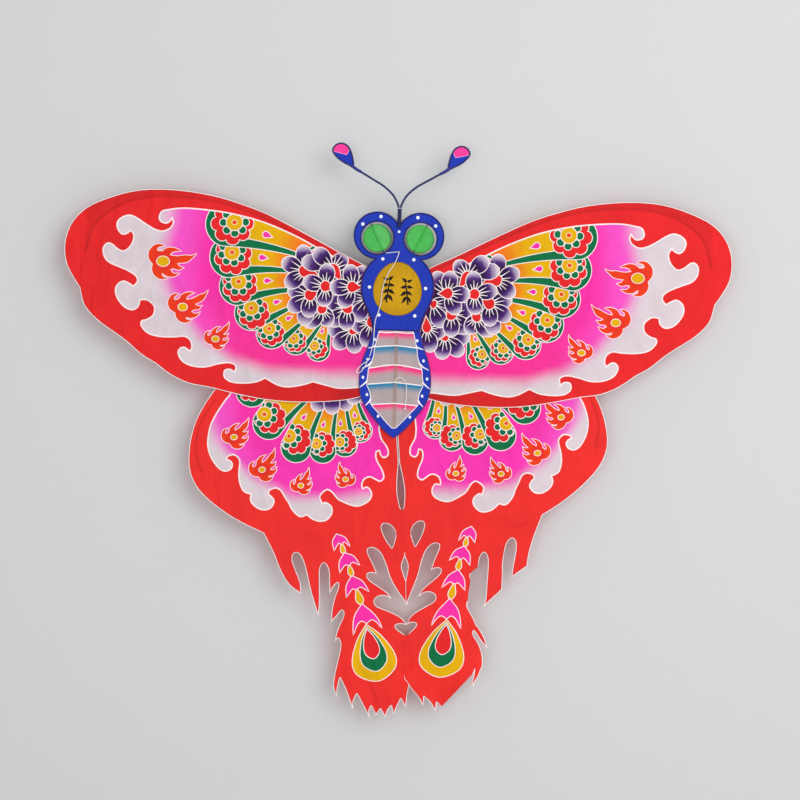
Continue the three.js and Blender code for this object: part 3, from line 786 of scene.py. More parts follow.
def upper_print():
    """The print of an upper silk: a fan of feathers with flames beyond and blossoms at its root."""
    dye_and_shade = Print()
    field = dye_and_shade.add(outline(UPPER_FIELD), pink_field((130, 6), 152, 600, 420, 112, ROSE_PINK), 1.7)
    within = (field,)
    tops = [f[3] for f in UPPER_FEATHERS[1:]] + [UPPER_TOP]
    for (head, ring, middle, root), top in zip(UPPER_FEATHERS, tops):
        bow = 3.2 * ramp(head[1], -45, 0)
        feather(dye_and_shade, head, ring, middle, root, top, bow, within)
    for dot, tip, size in UPPER_FLAMES:
        flame(dye_and_shade, dot, tip, size, within)
    bed = hull([(20, 14), (20, -58), (52, -56), (92, -34), (112, -8), (112, 20), (96, 34), (68, 18)])
    dye_and_shade.add(bed, DEEP_VIOLET, 0, within)
    for point, far, half_width, petals in UPPER_BLOSSOMS:
        blossom(dye_and_shade, point, far, half_width, petals, ())
    return dye_and_shade


def arrow(dye_and_shade, apex, outer, inner, notch, end):
    """A pink arrowhead with curled barbs, over a yellow drop."""
    mid_outer = ((apex[0] + outer[0]) / 2 + 3, (apex[1] + outer[1]) / 2 + 1)
    mid_inner = ((apex[0] + inner[0]) / 2 - 2, (apex[1] + inner[1]) / 2 + 3)
    cusp = (notch[0], notch[1] - 1)

    def curl(p):
        return (p[0] * 0.4 + cusp[0] * 0.6, p[1] * 0.4 + cusp[1] * 0.6 + 4)
    head = outline([[apex, mid_outer, outer], [outer, curl(outer), cusp], [cusp, curl(inner), inner],
                    [inner, mid_inner, apex]])
    dye_and_shade.add(drop((notch[0], notch[1] + 1), end, 0.21 * math.dist(notch, end)), YELLOW, RESIST)
    dye_and_shade.add(head, HOT_PINK, RESIST)


def lower_print(side):
    """The print of a lower silk: feathers, flames and blossoms, and the tail's arrows and eye spot."""
    dye_and_shade = Print()
    field = dye_and_shade.add(outline(LOWER_FIELD), pink_field((105, -140), 118, 600, 200, 106, MAGENTA), 1.7)
    within = (field,)
    feathers = [*LOWER_FEATHERS, LOWER_LAST[side]]
    roots = []
    for head, _, _, root in feathers:
        roots.append(stepped(root, unit(root[0] - head[0], root[1] - head[1]), 12))
    for (head, ring, middle, _), root, top in zip(feathers, roots, [*roots[1:], LOWER_TOP]):
        feather(dye_and_shade, head, ring, middle, root, top, 2.0, within)
    for dot, tip, size in LOWER_FLAMES:
        flame(dye_and_shade, dot, tip, size, within)
    for point, far, half_width, petals in LOWER_BLOSSOMS:
        blossom(dye_and_shade, point, far, half_width, petals, within)
    for points in ARROWS:
        arrow(dye_and_shade, *points)
    for point, bulb, half, colour in EYE_SPOTS:
        dye_and_shade.add(drop(point, bulb, half, 5, 0.55), colour, RESIST)
    dye_and_shade.add(outline(TAIL_CROWN), HOT_PINK, RESIST)
    return dye_and_shade


# ---------------------------------------------------------------- wings

SWAY = math.radians(5.3)
SWAY_PIVOT = -125


def swayed(x, z):
    """The lower wings hang a little off the body's line."""
    dz = z - SWAY_PIVOT
    return (x * math.cos(SWAY) - dz * math.sin(SWAY), SWAY_PIVOT + x * math.sin(SWAY) + dz * math.cos(SWAY))


def unswayed(x, z):
    """Back from where a lower wing hangs to its own straight frame."""
    dz = z - SWAY_PIVOT
    return (x * math.cos(SWAY) + dz * math.sin(SWAY), SWAY_PIVOT + dz * math.cos(SWAY) - x * math.sin(SWAY))


def upper_depth(x, z):
    """How the upper silks billow: y in mm."""
    loose = ramp(abs(x), 40, 120)
    wave = 1.8 * ripple(x, z, 85, 60, 1.7) + 0.5 * ripple(x, z, 22, 30, 5.1)
    return max(-12.5, min(-8.2 + loose * (wave - 0.6), -7.3))


def lower_depth(x, z):
    """How the lower silks billow, and flutter at the tails: y in mm."""
    loose = ramp(-z, 138, 190)
    tail = ramp(-z, 285, 420)
    wave = 1.6 * ripple(x, z, 60, 70, 8.3) + 0.5 * ripple(x, z, 18, 26, 2.2)
    flutter = 5.5 * ripple(x, z, 34, 90, 12.4) + 1.2 * ripple(x, z, 13, 22, 3.3)
    y = -6.6 + loose * (wave - 0.8) + tail * (flutter - 1.5)
    return max(-16, min(y, -6.2 + 1.4 * ramp(-z, 138, 160) + 3 * tail))


# The spars' middle lines on one side, the lower one's outer part in the swayed wing's own frame.
HINGE_X = 36
SPAR_START = HINGE_X + 0.8
UPPER_SPAR = [(SPAR_START, 21), (66, 35), (97, 50.5), (132, 67.5), (160, 80), (190, 91), (224, 99.5),
              (258, 103), (294, 103), (332, 93), (363, 69), (375, 34)]
LOWER_SPAR_ROOT = [(SPAR_START, -5, -62), (90, -3.9, -65), (150, -3.9, -80)]
LOWER_SPAR_END = [(214, -118), (230, -138), (239, -160), (241, -182), (236, -204)]


def upper_red(line):
    """Plain red for the upper silks, with painted shade over the hem beyond the spar's line and along the
    lower edge.
    """
    def colour(x, z):
        above = next((z0 + (z1 - z0) * (x - x0) / (x1 - x0) for (x0, z0), (x1, z1) in zip(line, line[1:])
                      if x0 <= x < x1), 200)
        # painted shade over the hem between the spar's line and the leading edge
        shade = 1 - 0.15 * ramp(z, above - 0.5, above + 1.5)
        # painted shade along the lower edge, where the upper silk lies over the lower one, twice as deep near
        # the body
        shade *= 1 - 0.14 * ramp(-z, 114.5, 116) * ramp(200 - x, 0, 30) * (1 + ramp(-x, -75, -55))
        return RED * (shade + 0.05 * ripple(x, z, 45, 45, 2))
    return colour


def lower_red(x, z):
    """Plain red for the lower silks."""
    return LOWER_RED * (0.98 + 0.06 * ripple(x, z, 40, 55, 7))


# The right tail swings inwards, and its edge is folded behind along these lines, each as the turn of its
# frame and (along, beyond) in mm in that frame. The last finger only curls inwards.
FOLDS = [(math.radians(49), [(-380, 375.5), (-282.7, 375.5), (-262.8, 385), (-255, 420)]),
         (math.radians(90), [(-440, 200), (-408, 130), (-398, 106), (-383, 99), (-367, 93.5), (-343, 96),
                              (-337.5, 96.6), (-325, 107.5), (-319, 130)])]
FINGER = (118, -440)
TAIL_EDGE = 118.5  # the tail's own fingers lie nearer than this, the wing's streamers beyond
FOLD_RADIUS = 0.9

# Where the right lower silk's edge differs from the left one's: a longer finger at the tail, and the wing's
# two streamers, whose tips are bent back. Each is a list of runs that meet at sharp corners.
RIGHT_EDGES = [
    [[(125.6, -452), (125.8, -445), (124.6, -435), (121.4, -425.5), (116.6, -417), (112.2, -411.2),
      (111, -407.5), (111.9, -404.9), (115.2, -408.5), (120.7, -416), (130.4, -426)],
     [(130.4, -426), (125.2, -413.5), (118.3, -402.7), (114.3, -398.6)]],
    [[(118.6, -313.4), (121.3, -320), (122.3, -332), (122.4, -348), (122.8, -368), (120, -377)],
     [(120, -377), (132.5, -364.3), (141.2, -355)],
     [(141.2, -355), (140.6, -338), (139.4, -322), (140.4, -303), (143.5, -295.5), (147.5, -293.5),
      (151.2, -297), (152.8, -305), (152.7, -315), (151.8, -327), (151.5, -340)],
     [(151.5, -340), (160, -333.2), (168.8, -326.5)],
     [(168.8, -326.5), (169.3, -311), (171.3, -298), (173, -289.7)]],
]


def with_right_edges(loop):
    """The right lower silk's outline with the runs above in place of the stretches that they span."""
    for runs in RIGHT_EDGES:
        first, last = (min(range(len(loop)), key=lambda i: math.dist(loop[i], end))
                       for end in (runs[0][0], runs[-1][-1]))
        loop = [*loop[:first], *outline(runs, 3), *loop[last:]]
    return loop


def tail_swing(x, z):
    """How far inwards the right tail hangs, in mm, at a point of the straight sheet."""
    return 0.06 * max(0, -z - 250) * ramp(-z, 250, 330) * ramp(x, 10, 40) * (1 - 0.9 * ramp(-z, 464, 494))


def fold_height(line, u):
    """How far out a fold runs at u along it."""
    for (a, low), (b, high) in zip(line, line[1:]):
        if u <= b:
            return low + (high - low) * ramp(u, a, b)
    return line[-1][1]


def folded(x, z):
    """Where a point of the right lower silk ends up: (x, y, z) in mm."""
    finger = ramp(-z, 444, 470) if x > FINGER[0] and z < FINGER[1] else 0
    may_fold = x < TAIL_EDGE and z < -319 and not finger
    x -= tail_swing(x, z) + 9 * finger
    for angle, line in FOLDS:
        c, s = math.cos(angle), math.sin(angle)
        u, v = x * c + z * s, x * s - z * c
        beyond = v - fold_height(line, u)
        if beyond > 0 and may_fold:
            turn = min(beyond / FOLD_RADIUS, math.pi)
            v += FOLD_RADIUS * math.sin(turn) - max(beyond - math.pi * FOLD_RADIUS, 0) - beyond
            x, z = u * c + v * s, u * s - v * c
            return x, lower_depth(x, z) + FOLD_RADIUS * (1 - math.cos(turn)), z
    return x, lower_depth(x, z), z


# Where the two lower silks meet: the stretches as heights down the middle line, and the seams' corners.
MEETINGS = ((265, 313), (416, 460))
SEAMS = [[(-6, -263), (9, -263), (9, -315), (-6, -315)], [(-6, -413), (9, -413), (9, -462), (-6, -462)]]
SEAM_REACH = 2.6  # how far each silk is carried over the middle line
SEAM_STEP = 0.25  # one silk lies this much in front of the middle, the other behind
FOLD_STEP = 2.5  # between the mesh points along a fold
FOLD_ROWS = (-2, -0.5, 0.6, 1.4, 2.3, 3.2, 5)  # rows of mesh points beside a fold's line
SPAR_SHADOWS = ((1.9, 0.9), (0.9, 0.8))  # half width and tone of each painted shadow strip where the spar lies behind the silk
EDGE_SHADE = 0.62  # tone of the dark line just inside a silk's pale rim

upper_pattern = upper_print()
patterns = {
    "upper": {side: upper_pattern for _, side in SIDES},
    "lower": {side: lower_print(side) for _, side in SIDES},
}
shifts = {"upper": {-1: (0, 0), 1: (6, -4.5)}, "lower": {-1: (0, 0), 1: (2, -1.5)}}  # the print on each silk
spar_lines = {"upper": smooth(UPPER_SPAR, 8), "lower": smooth(LOWER_SPAR_END, 8)}
# the reds of the silks; the upper one carries painted shade
reds = {"upper": upper_red(spar_lines["upper"]), "lower": lower_red}
depths = {"upper": upper_depth, "lower": lower_depth}


def across(point, place, own):
    """Carries the inner edge of a lower silk over the middle line where the two silks meet."""
    x, z = own(*point)
    meets = max(ramp(-z, top - 4, top) * ramp(-z, bottom + 8, bottom) for top, bottom in MEETINGS)
    return place((x - SEAM_REACH * meets * ramp(x, 9, 4), z))


def sheet_frame(side, lower):
    """The ways from one side's (out, up) to the sheet's place, and back."""
    def place(p):
        return swayed(p[0] * side, p[1]) if lower else (p[0] * side, p[1])

    def own(x, z):
        if lower:
            x, z = unswayed(x, z)
        return x * side, z
    return place, own


def placed_colour(colour, own, shift=(0, 0), shade=1):
    """A colour of one side's (out, up), as a colour of the sheet's own (x, z)."""
    if not callable(colour):
        return colour

    def local(x, z):
        x, z = own(x, z)
        return colour(x - shift[0], z - shift[1]) * shade
    return local


def moved(points, shift):
    return [(x + shift[0], z + shift[1]) for x, z in points]


def fold_points(own):
    """Points that make the mesh finer along the right tail's folds."""
    made = []
    for angle, line in FOLDS:
        c, s = math.cos(angle), math.sin(angle)
        for k in range(int((line[-1][0] - line[0][0]) / FOLD_STEP)):
            u = line[0][0] + FOLD_STEP * k
            for beyond in FOLD_ROWS:
                v = fold_height(line, u) + beyond
                x, z = u * c + v * s, u * s - v * c
                made.append(own(x + tail_swing(x + 8, z), z))
    return made


def silk_dye_and_shade(level, side, own):
    """One silk's painted regions: painted shadow strips where the spar lies behind, then the print."""
    pattern, shift = patterns[level][side], shifts[level][side]
    dye_and_shade = Print()
    dye_and_shade.loose = moved(pattern.loose, shift)
    # Painted shadow: two dark strips where the spar behind the silk holds back the light that comes through
    # it.
    for half, shade in SPAR_SHADOWS:
        dye_and_shade.add(stroke(spar_lines[level], half), placed_colour(reds[level], own, shade=shade))
    for points, colour, within in pattern.regions:
        within = tuple(w + len(SPAR_SHADOWS) for w in within)
        dye_and_shade.regions.append((moved(points, shift), placed_colour(colour, own, shift), within))
    return dye_and_shade


def wing_silk(side_name, side, level):
    """One painted silk, cut to its CAD node's outline; the right lower one is folded at the tail."""
    node = f"{side_name}_{level}_silk"
    lower = level == "lower"
    place, own = sheet_frame(side, lower)
    dye_and_shade = silk_dye_and_shade(level, side, own)
    loops = loops_of(node)
    seams = []
    if lower:
        loops = [[across(p, place, own) for p in loop] for loop in loops]
        seams = [[place(p) for p in corners] for corners in SEAMS]
    if lower and side > 0:
        dye_and_shade.loose += fold_points(own)
        loops[0] = with_right_edges(loops[0])
    edge = placed_colour(reds[level], own, shade=EDGE_SHADE)
    for loop in loops:
        for points in rim_strokes(loop, RIM + 0.5):
            dye_and_shade.regions.append(([own(*p) for p in points], edge, ()))
    base = placed_colour(reds[level], own)
    cloth = painted(f"{node}_cloth", loops, dye_and_shade, place, depths[level], SILK, base, rim=RIM, seams=seams)
    if lower:
        for vertex in cloth.data.vertices:
            x, _, z = vertex.co / MM
            if side > 0:
                vertex.co = Vector(folded(x, z)) * MM
            vertex.co.y -= side * SEAM_STEP * MM * ramp(abs(own(x, z)[0]), 20, 4)
    stretched(node)
    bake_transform(cloth)


for side_name, side in SIDES:
    for level in ("upper", "lower"):
        wing_silk(side_name, side, level)

# ---------------------------------------------------------------- rods and threads


def tube_rings(line, closed):
    """Each point of a line, two directions across it that turn as little as they can, and its distance."""
    count = len(line)
    normal = None
    along = 0.0
    for i, place in enumerate(line):
        before = line[(i - 1) % count] if closed else line[max(i - 1, 0)]
        after = line[(i + 1) % count] if closed else line[min(i + 1, count - 1)]
        tangent = (after - before).normalized()
        if normal is None:
            normal = tangent.orthogonal().normalized()
        normal = (normal - tangent * normal.dot(tangent)).normalized()
        along += (place - line[i - 1]).length if i else 0
        yield place, normal, tangent.cross(normal), along


def tube(name, points, radius, material, body="root", closed=False, sides=10, profile=None, parts=None):
    """A round rod or thread through the points in mm, as one mesh. profile(t) scales its radius along it.

    It carries a `grain` attribute: (turn, turn, distance along in metres), so grain and twist follow it.
    parts lists several lines in place of one, each made into a tube of the same mesh.
    """
    vertices, faces, grain = [], [], []
    circle = [(math.cos(angle), math.sin(angle)) for angle in circle_angles(sides)]
    for line in parts or [points]:
        line = [Vector(p) * MM for p in line]
        count = len(line)
        first = len(vertices)
        for i, (place, normal, across, along) in enumerate(tube_rings(line, closed)):
            r = radius * MM * (profile(i / (count - 1)) if profile else 1)
            for c, s in circle:
                vertices.append(place + (normal * c + across * s) * r)
                grain.append((c * radius * MM, s * radius * MM, along))
        for i in range(count if closed else count - 1):
            for k in range(sides):
                a, b = first + i * sides, first + ((i + 1) % count) * sides
                faces.append((a + k, a + (k + 1) % sides, b + (k + 1) % sides, b + k))
        if not closed:
            faces.append(tuple(first + k for k in reversed(range(sides))))
            faces.append(tuple(first + (count - 1) * sides + k for k in range(sides)))
    made = mesh_object(name, vertices, faces, material, [len(f) == 4 for f in faces])
    layer = made.data.attributes.new("grain", "FLOAT_VECTOR", "POINT")
    layer.data.foreach_set("vector", [v for g in grain for v in g])
    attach(made, body)
    return made


THREAD_RADIUS = 0.5
STICK_THREAD, TIE_THREAD = 0.42, 0.4  # radius of the thread round the sticks, and round the spars
UPPER_BRIDLE = [
    (1.1, -11.6, 45), (-0.6, -11.8, 39.5), (-2.9, -11.9, 33.5), (-6.5, -11.9, 27), (-10.6, -11.9, 20.5),
    (-14.4, -11.9, 12.5), (-17.3, -11.9, 3), (-18.6, -11.9, -7), (-19.5, -11.9, -17.3), (-22, -12.2, -27),
    (-24.8, -12.8, -35.5), (-26, -13.2, -43), (-26.4, -13.4, -51.2), (-26.6, -13.4, -58),
    (-27.2, -13.4, -65.5), (-28.8, -13.4, -73), (-31, -13.4, -81),
]
LOWER_BRIDLE = [
    (-1.1, -11.6, -111.7), (0.6, -12, -108.3), (3, -12.3, -105.9), (6.2, -12.4, -105.2), (9.8, -12.4, -106.6),
    (12.6, -12.4, -109.8), (13.8, -12.4, -114.5), (14.1, -12.4, -121), (14, -12.4, -128), (13.6, -12.4, -135),
    (13.1, -12.4, -141),
]
BRIDLE_KNOT = (-32, -13.4, -84)
LOWER_KNOT = (13.1, -12.4, -142.5)
TOW_LOOP = ((-33.7, -86.8), (-45.5, -101), 2.6)  # where it leaves the knot, its far end, its half width
LOOP_OVAL = [(0, 0), (0.3, 0.7), (0.7, 1), (0.93, 0.6), (1, 0),
             (0.93, -0.6), (0.7, -1), (0.3, -0.7), (0, 0)]


def knot(name, node, centre, size, radius):
    """A small overhand knot, drawn as a closed trefoil of thread."""
    line = []
    for t in circle_angles(60):
        line.append((centre[0] + size * (math.sin(t) + 2 * math.sin(2 * t)) / 3,
                     centre[1] - size * 0.7 * math.sin(3 * t) / 2,
                     centre[2] + size * (math.cos(t) - 2 * math.cos(2 * t)) / 3))
    made = tube(name, line, radius, THREAD, closed=True, sides=8)
    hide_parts(node)
    return made


def tow_loop():
    """The long loop of thread that leaves the main knot."""
    base, tip, half = TOW_LOOP
    u = unit(tip[0] - base[0], tip[1] - base[1])
    length = math.dist(base, tip)
    flat = [stepped(base, u, t * length, s * half) for t, s in smooth(LOOP_OVAL, 5)[:-1]]
    line = [(x, BRIDLE_KNOT[1], z) for x, z in flat]
    made = tube("tow_loop_thread", line, THREAD_RADIUS, THREAD, closed=True)
    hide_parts("tow_loop")
    return made


def line_length(points):
    return sum(math.dist(a, b) for a, b in zip(points, points[1:])) * MM


def cord(name, points, node, with_pieces):
    """A limp thread from its first point to a knot."""
    line = smooth(points, 4)
    made = tube(name, line, THREAD_RADIUS, THREAD)
    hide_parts(node)
    tuple(v * MM for v in points[0])
    round(line_length(line), 3)
    [tuple(v * MM for v in p) for p in line]


def bridle():
    """Both bridle threads with their knots and the tow loop, and the stitch at the upper one's start."""
    main_knot = knot("bridle_knot_thread", "bridle_knot", BRIDLE_KNOT, 1.35, THREAD_RADIUS)
    cord("upper_bridle_thread", UPPER_BRIDLE, "upper_bridle", [main_knot, tow_loop()])
    low_knot = knot("lower_bridle_knot_thread", "lower_bridle_knot", LOWER_KNOT, 1.0, STICK_THREAD)
    cord("lower_bridle_thread", LOWER_BRIDLE, "lower_bridle", [low_knot])
    stitch = []
    for x in range(-15, 2):
        share = (x + 15) / 16
        stitch.append((x, -11.5 - 0.35 * math.sin(math.pi * share), 43 + 2 * share))
    tube("bridle_stitch", stitch, 0.45, THREAD)


bridle()


def rings(centre, turn, half_long, half_deep, count, pitch):
    """Closed turns of thread round a crossing, side by side, as lines in mm."""
    along = (math.cos(turn), math.sin(turn))
    made = []
    for k in range(count):
        shift = (k - (count - 1) / 2) * pitch
        line = []
        for a in circle_angles(24):
            u = half_long * math.copysign(abs(math.cos(a)) ** 0.6, math.cos(a))
            v = half_deep * math.copysign(abs(math.sin(a)) ** 0.6, math.sin(a))
            line.append((centre[0] + along[0] * u - along[1] * shift, centre[1] + v,
                         centre[2] + along[1] * u + along[0] * shift))
        made.append(line)
    return made


def thread_turns(name, turns, radius, node, body="root"):
    """Turns of thread as one piece, in place of a CAD node."""
    made = tube(name, None, radius, THREAD, body, closed=True, sides=8, parts=turns)
    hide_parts(node)


STICK_HEIGHTS = {"brow": 83, "cheek": 42, "shoulder": 21, "waist": -62}
LASHING_TURN = math.radians(48)


def lashings():
    """A crossed lashing where each stick meets the spine, and a plain one at the tail."""
    for stick, height in STICK_HEIGHTS.items():
        turns = []
        for way in (1, -1):
            turns += rings((0, -3.5, height), way * LASHING_TURN, 4.6 + 0.3 * way, 3.0 + 0.15 * way, 5, 0.85)
        thread_turns(f"{stick}_lashing_thread", turns, STICK_THREAD, f"{stick}_lashing")
    tail_turns = rings((0, -3.1, -166), 0, 8.2, 2.6, 6, 0.9)
    thread_turns("tail_lashing_thread", tail_turns, STICK_THREAD, "tail_lashing")


lashings()

# ---------------------------------------------------------------- spars, their ties and pockets

# A tip pocket's rings: the distance beyond the spar's end in mm, and the share of the pocket's radius.
POCKET_RINGS = [(-9.5, 1.28), (-9, 1.32), (-7, 1.2), (-4, 1.16), (-1, 1.16), (1, 1.05), (2, 0.7), (2.4, 0.2)]
POCKET_RADIUS = 2.05
TIE_RADIUS = 1.75
UPPER_JOINTS, LOWER_JOINTS = (0.16, 0.47, 0.8), (0.28, 0.72)  # the cane's knuckles, as shares of a spar
TIES = (("inner", 0.43), ("outer", 0.7))  # along the upper spar


def bamboo_profile(knuckles, seed):
    """Slight swelling at the joints of the cane, and an uneven hand-scraped width."""
    def profile(t):
        swell = sum(math.exp(-((t - at) / 0.006) ** 2) for at in knuckles)
        return 1 + 0.16 * swell + 0.05 * noise.noise(Vector((t * 30, seed, 0.5)))
    return profile


def spar_and_pocket(side_name, side, level, line, radius, knuckles):
    """A bent cane spar and the red cloth pocket over its tip."""
    body = f"{side_name}_wing"
    spar = tube(f"{side_name}_{level}_spar_cane", line, radius, CANE, body, sides=12,
                profile=bamboo_profile(knuckles, side))
    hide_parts(f"{side_name}_{level}_spar")
    tip, before = Vector(line[-1]), Vector(line[-4])
    along = (tip - before).normalized()
    pocket = [tuple(tip + along * distance) for distance, _ in POCKET_RINGS]
    cap = tube(f"{side_name}_{level}_pocket_cloth", pocket, POCKET_RADIUS, HEM, body, sides=16,
               profile=lambda t: POCKET_RINGS[round(t * (len(POCKET_RINGS) - 1))][1])
    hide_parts(f"{side_name}_{level}_tip_pocket")


def tie_turns(line, share):
    """Four turns of thread round a spar, at a share of its length."""
    index = round(share * (len(line) - 1))
    start, nearby = Vector(line[index]), Vector(line[index + 1])
    along = (nearby - start).normalized()
    across = Vector((-along.z, 0, along.x))
    turns = []
    for k in range(4):
        centre = start + along * 0.8 * (k - 1.5)
        turns.append([tuple(centre + across * TIE_RADIUS * math.cos(a)
                            + Vector((0, TIE_RADIUS * math.sin(a), 0))) for a in circle_angles(16)])
    return turns


def wing_frame(side_name, side):
    """One wing's two spars, their pockets, and the ties on the upper spar."""
    upper_line = smooth([(x * side, -5, z) for x, z in UPPER_SPAR], 8)
    root = [(x * side, y, z) for x, y, z in LOWER_SPAR_ROOT]
    end = [swayed(x * side, z) for x, z in LOWER_SPAR_END]
    lower_line = smooth(root + [(x, -3.9, z) for x, z in end], 10)
    spar_and_pocket(side_name, side, "upper", upper_line, 1.2, UPPER_JOINTS)
    spar_and_pocket(side_name, side, "lower", lower_line, 1.1, LOWER_JOINTS)
    for tie, share in TIES:
        thread_turns(f"{side_name}_{tie}_tie_thread", tie_turns(upper_line, share), TIE_THREAD,
                     f"{side_name}_{tie}_tie", f"{side_name}_wing")


for side_name, side in SIDES:
    wing_frame(side_name, side)

# ---------------------------------------------------------------- painted skins of head, thorax and abdomen


EGG = 31.6  # half height of the thorax's ochre egg
# The bamboo sprays: the foot of each on the egg, and which way it turns.
SPRAYS = ((-11, 1, 1), (11, -1, -1))
# The leaves of a spray: height of the root above the foot, how far out and up the tip lies, half width.
SPRAY_LEAVES = ((10, 6, 5, 1.9), (10, -7, 3, 1.8), (5, 8, -2, 2.0), (5, -8, -2, 2.0),
                (-1, 8, -6, 2.1), (-1, -7, -5, 1.9), (-7, 6, -9, 2.0), (-7, -6, -8, 1.8))
LEAF_OUTLINE = ((0, 0), (0.3, 1), (0.65, 0.75), (1, 0), (0.65, -0.6), (0.3, -1), (0, 0))
THORAX_DOTS = ((43.5, 77), (22, 86.5), (18.5, 36), (33.5, 2), (21.5, -31))
ABDOMEN_DOTS = ((25.3, -60.5), (33.5, -84.5), (38.3, -106), (33, -126.5), (19, -152))


def mirror_add(dye_and_shade, points, colour):
    """Adds a region on both sides of the middle line."""
    for side in (1, -1):
        dye_and_shade.add([(x * side, z) for x, z in points], colour)


def leaf(dye_and_shade, root, tip, width):
    """One brush stroke shaped like a bamboo leaf."""
    u = unit(tip[0] - root[0], tip[1] - root[1])
    length = math.dist(root, tip)
    middle = [stepped(root, u, t * length, s * width) for t, s in LEAF_OUTLINE]
    dye_and_shade.add(outline([middle[:4], middle[3:]]), INK)


def thorax_print():
    """An ochre egg with two sprays of bamboo in ink, and white dots round it."""
    dye_and_shade = Print()
    egg = [(EGG * math.cos(a) * (0.9 - 0.09 * math.sin(a)), 0.8 + EGG * math.sin(a))
           for a in circle_angles(48)]
    shine = lambda x, z: blend_colours(OCHRE, OCHRE * 0.82, math.hypot(x / 30, z / 34) ** 2)
    dye_and_shade.add(egg, shine, 0.8, (), linear(120, 84, 10))
    for x, z, turn in SPRAYS:
        dye_and_shade.add(stroke([(x - 2 * turn, z - 17), (x, z), (x + 2 * turn, z + 13)], [1.1, 0.9, 0.5]), INK)
        for up, out, rise, width in SPRAY_LEAVES:
            leaf(dye_and_shade, (x, z + up), (x + out * turn, z + up + rise), width)
    for x, z in THORAX_DOTS:
        mirror_add(dye_and_shade, ellipse((x, z), 2, 2, count=14), WHITE)
    dye_and_shade.add(ellipse((0, 69), 1.6, 1.6, count=12), WHITE)
    return dye_and_shade


# Each stripe: height at the middle, height at the ends, colour, depth of its fade.
PANEL_STRIPES = ((-51, -51, STRIPE_PINK, 11), (-67, -70, SKY, 12), (-90, -95, STRIPE_PINK, 11),
                 (-111, -114, SKY, 11), (-136, -138.5, STRIPE_PINK, 10))
PANEL_EDGE = [[(20, -50), (22.5, -60), (24, -67)], [(24, -67), (25, -71), (26, -80), (28.5, -88)],
              [(28.5, -88), (31.5, -95), (32.3, -104), (33.5, -111)],
              [(33.5, -111), (33, -115), (29.5, -123), (27.8, -132)],
              [(27.8, -132), (27.5, -137.5), (17, -149.5), (7.5, -160), (0, -167)]]
PANEL_LEAVES = [[(24, -67), (27.5, -69.5), (33, -71)], [(28, -87), (33, -92), (40, -95.5)],
                [(33, -110), (37.5, -114.5), (42, -118)], [(28, -131), (30.5, -135.5), (35, -140)]]


def panel_colour(x, z):
    """Translucent white silk with stripes that fade downwards, and the spine showing through."""
    colour = PANEL * (1 + 0.03 * ripple(x, z, 9, 14, 3))
    for middle, ends, tint, depth in PANEL_STRIPES:
        below = middle + (ends - middle) * abs(x) / 30 - z
        if 0 <= below < depth:
            colour = blend_colours(tint, PANEL, 1.15 * below / depth - 0.15)
    near_spine = math.exp(-((x - 0.5) / 2.4) ** 4)
    return blend_colours(colour, linear(156, 122, 104), 0.6 * near_spine)


def abdomen_print():
    """The pale striped panel on blue, with leaves along its edge and white dots."""
    dye_and_shade = Print()
    edge = outline(PANEL_EDGE)
    panel = edge + [(-x, z) for x, z in reversed(edge)]
    waist = dye_and_shade.add(panel, panel_colour, 0.8)
    for middle, ends, _, _ in PANEL_STRIPES:
        line = [(-32, ends), (-12, middle - 1), (0, middle), (12, middle - 1), (32, ends)]
        dye_and_shade.add(stroke(line, 0.65), LINE, 0, (waist,))
        for x in range(-32, 33, 3):
            dye_and_shade.loose += [(x, middle + (ends - middle) * abs(x) / 30 - below) for below in (2, 4, 6, 8)]
    dye_and_shade.loose += [(x, z) for z in range(-166, -50, 2) for x in (-3, -2, 3, 4)]
    for x, z in ABDOMEN_DOTS:
        mirror_add(dye_and_shade, ellipse((x, z), 1.5, 1.9, count=14), WHITE)
    for points in PANEL_LEAVES:
        mirror_add(dye_and_shade, stroke(points, [0.9, 0.8, 0.4]), LINE)
    return dye_and_shade


DIMPLE = 0.4  # how far a skin's front wavers
RIM_DEPTH = -10.0


def skin(node, loops, dye_and_shade, front, rim, grid=5.0):
    """The painted silk over the thorax or the abdomen, with its front at `front` mm."""
    depth = lambda x, z: front + DIMPLE * ripple(x, z, 24, 24, 6)
    made = painted(f"{node}_cloth", loops, dye_and_shade, lambda p: p, depth, SKIN, BLUE, grid, rim, NAVY)
    stretched(node)
    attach(made, "root")


def skins():
    """Both skins, and the bound rims of their outlines and of the eyes' windows."""
    outer, *windows = loops_of("thorax_skin")
    thorax_loops = [grown(outer, 0.8), *windows]
    skin("thorax_skin", thorax_loops, thorax_print(), -10.6, 1.3)
    abdomen_loop = grown(loops_of("abdomen_skin")[0], 1.0)
    skin("abdomen_skin", [abdomen_loop], abdomen_print(), -10.2, 0.5, 2.5)
    rims = [("thorax_rim", thorax_loops[0], 0.6), ("abdomen_rim", abdomen_loop, 0.5),
            ("left_window_rim", thorax_loops[1], 0.6), ("right_window_rim", thorax_loops[2], 0.6)]
    for label, loop, radius in rims:
        line = [(x, RIM_DEPTH, z) for x, z in loop]
        tube(label, line, radius, NAVY_HEM, closed=True, sides=8)


skins()

# ---------------------------------------------------------------- feelers

FEELER_Y = -12.05
FEELER_WIRE = [(1.3, 97.3), (2.5, 102), (8.5, 112.5), (19.5, 122.5), (32, 130), (44, 137), (56, 144)]
FEELER_SLEEVE = [(47, 138.7), (52, 141.5), (57, 144.8), (60, 147)]
FEELER_TIP = [(58, 182), (61.5, 168), (63, 163), (64.8, 159), (72, 160.5), (80, 162.5), (96, 166)]
STEM_FOOT, STEM_PITCH, STEM_TURNS = 74.4, 0.8, 28


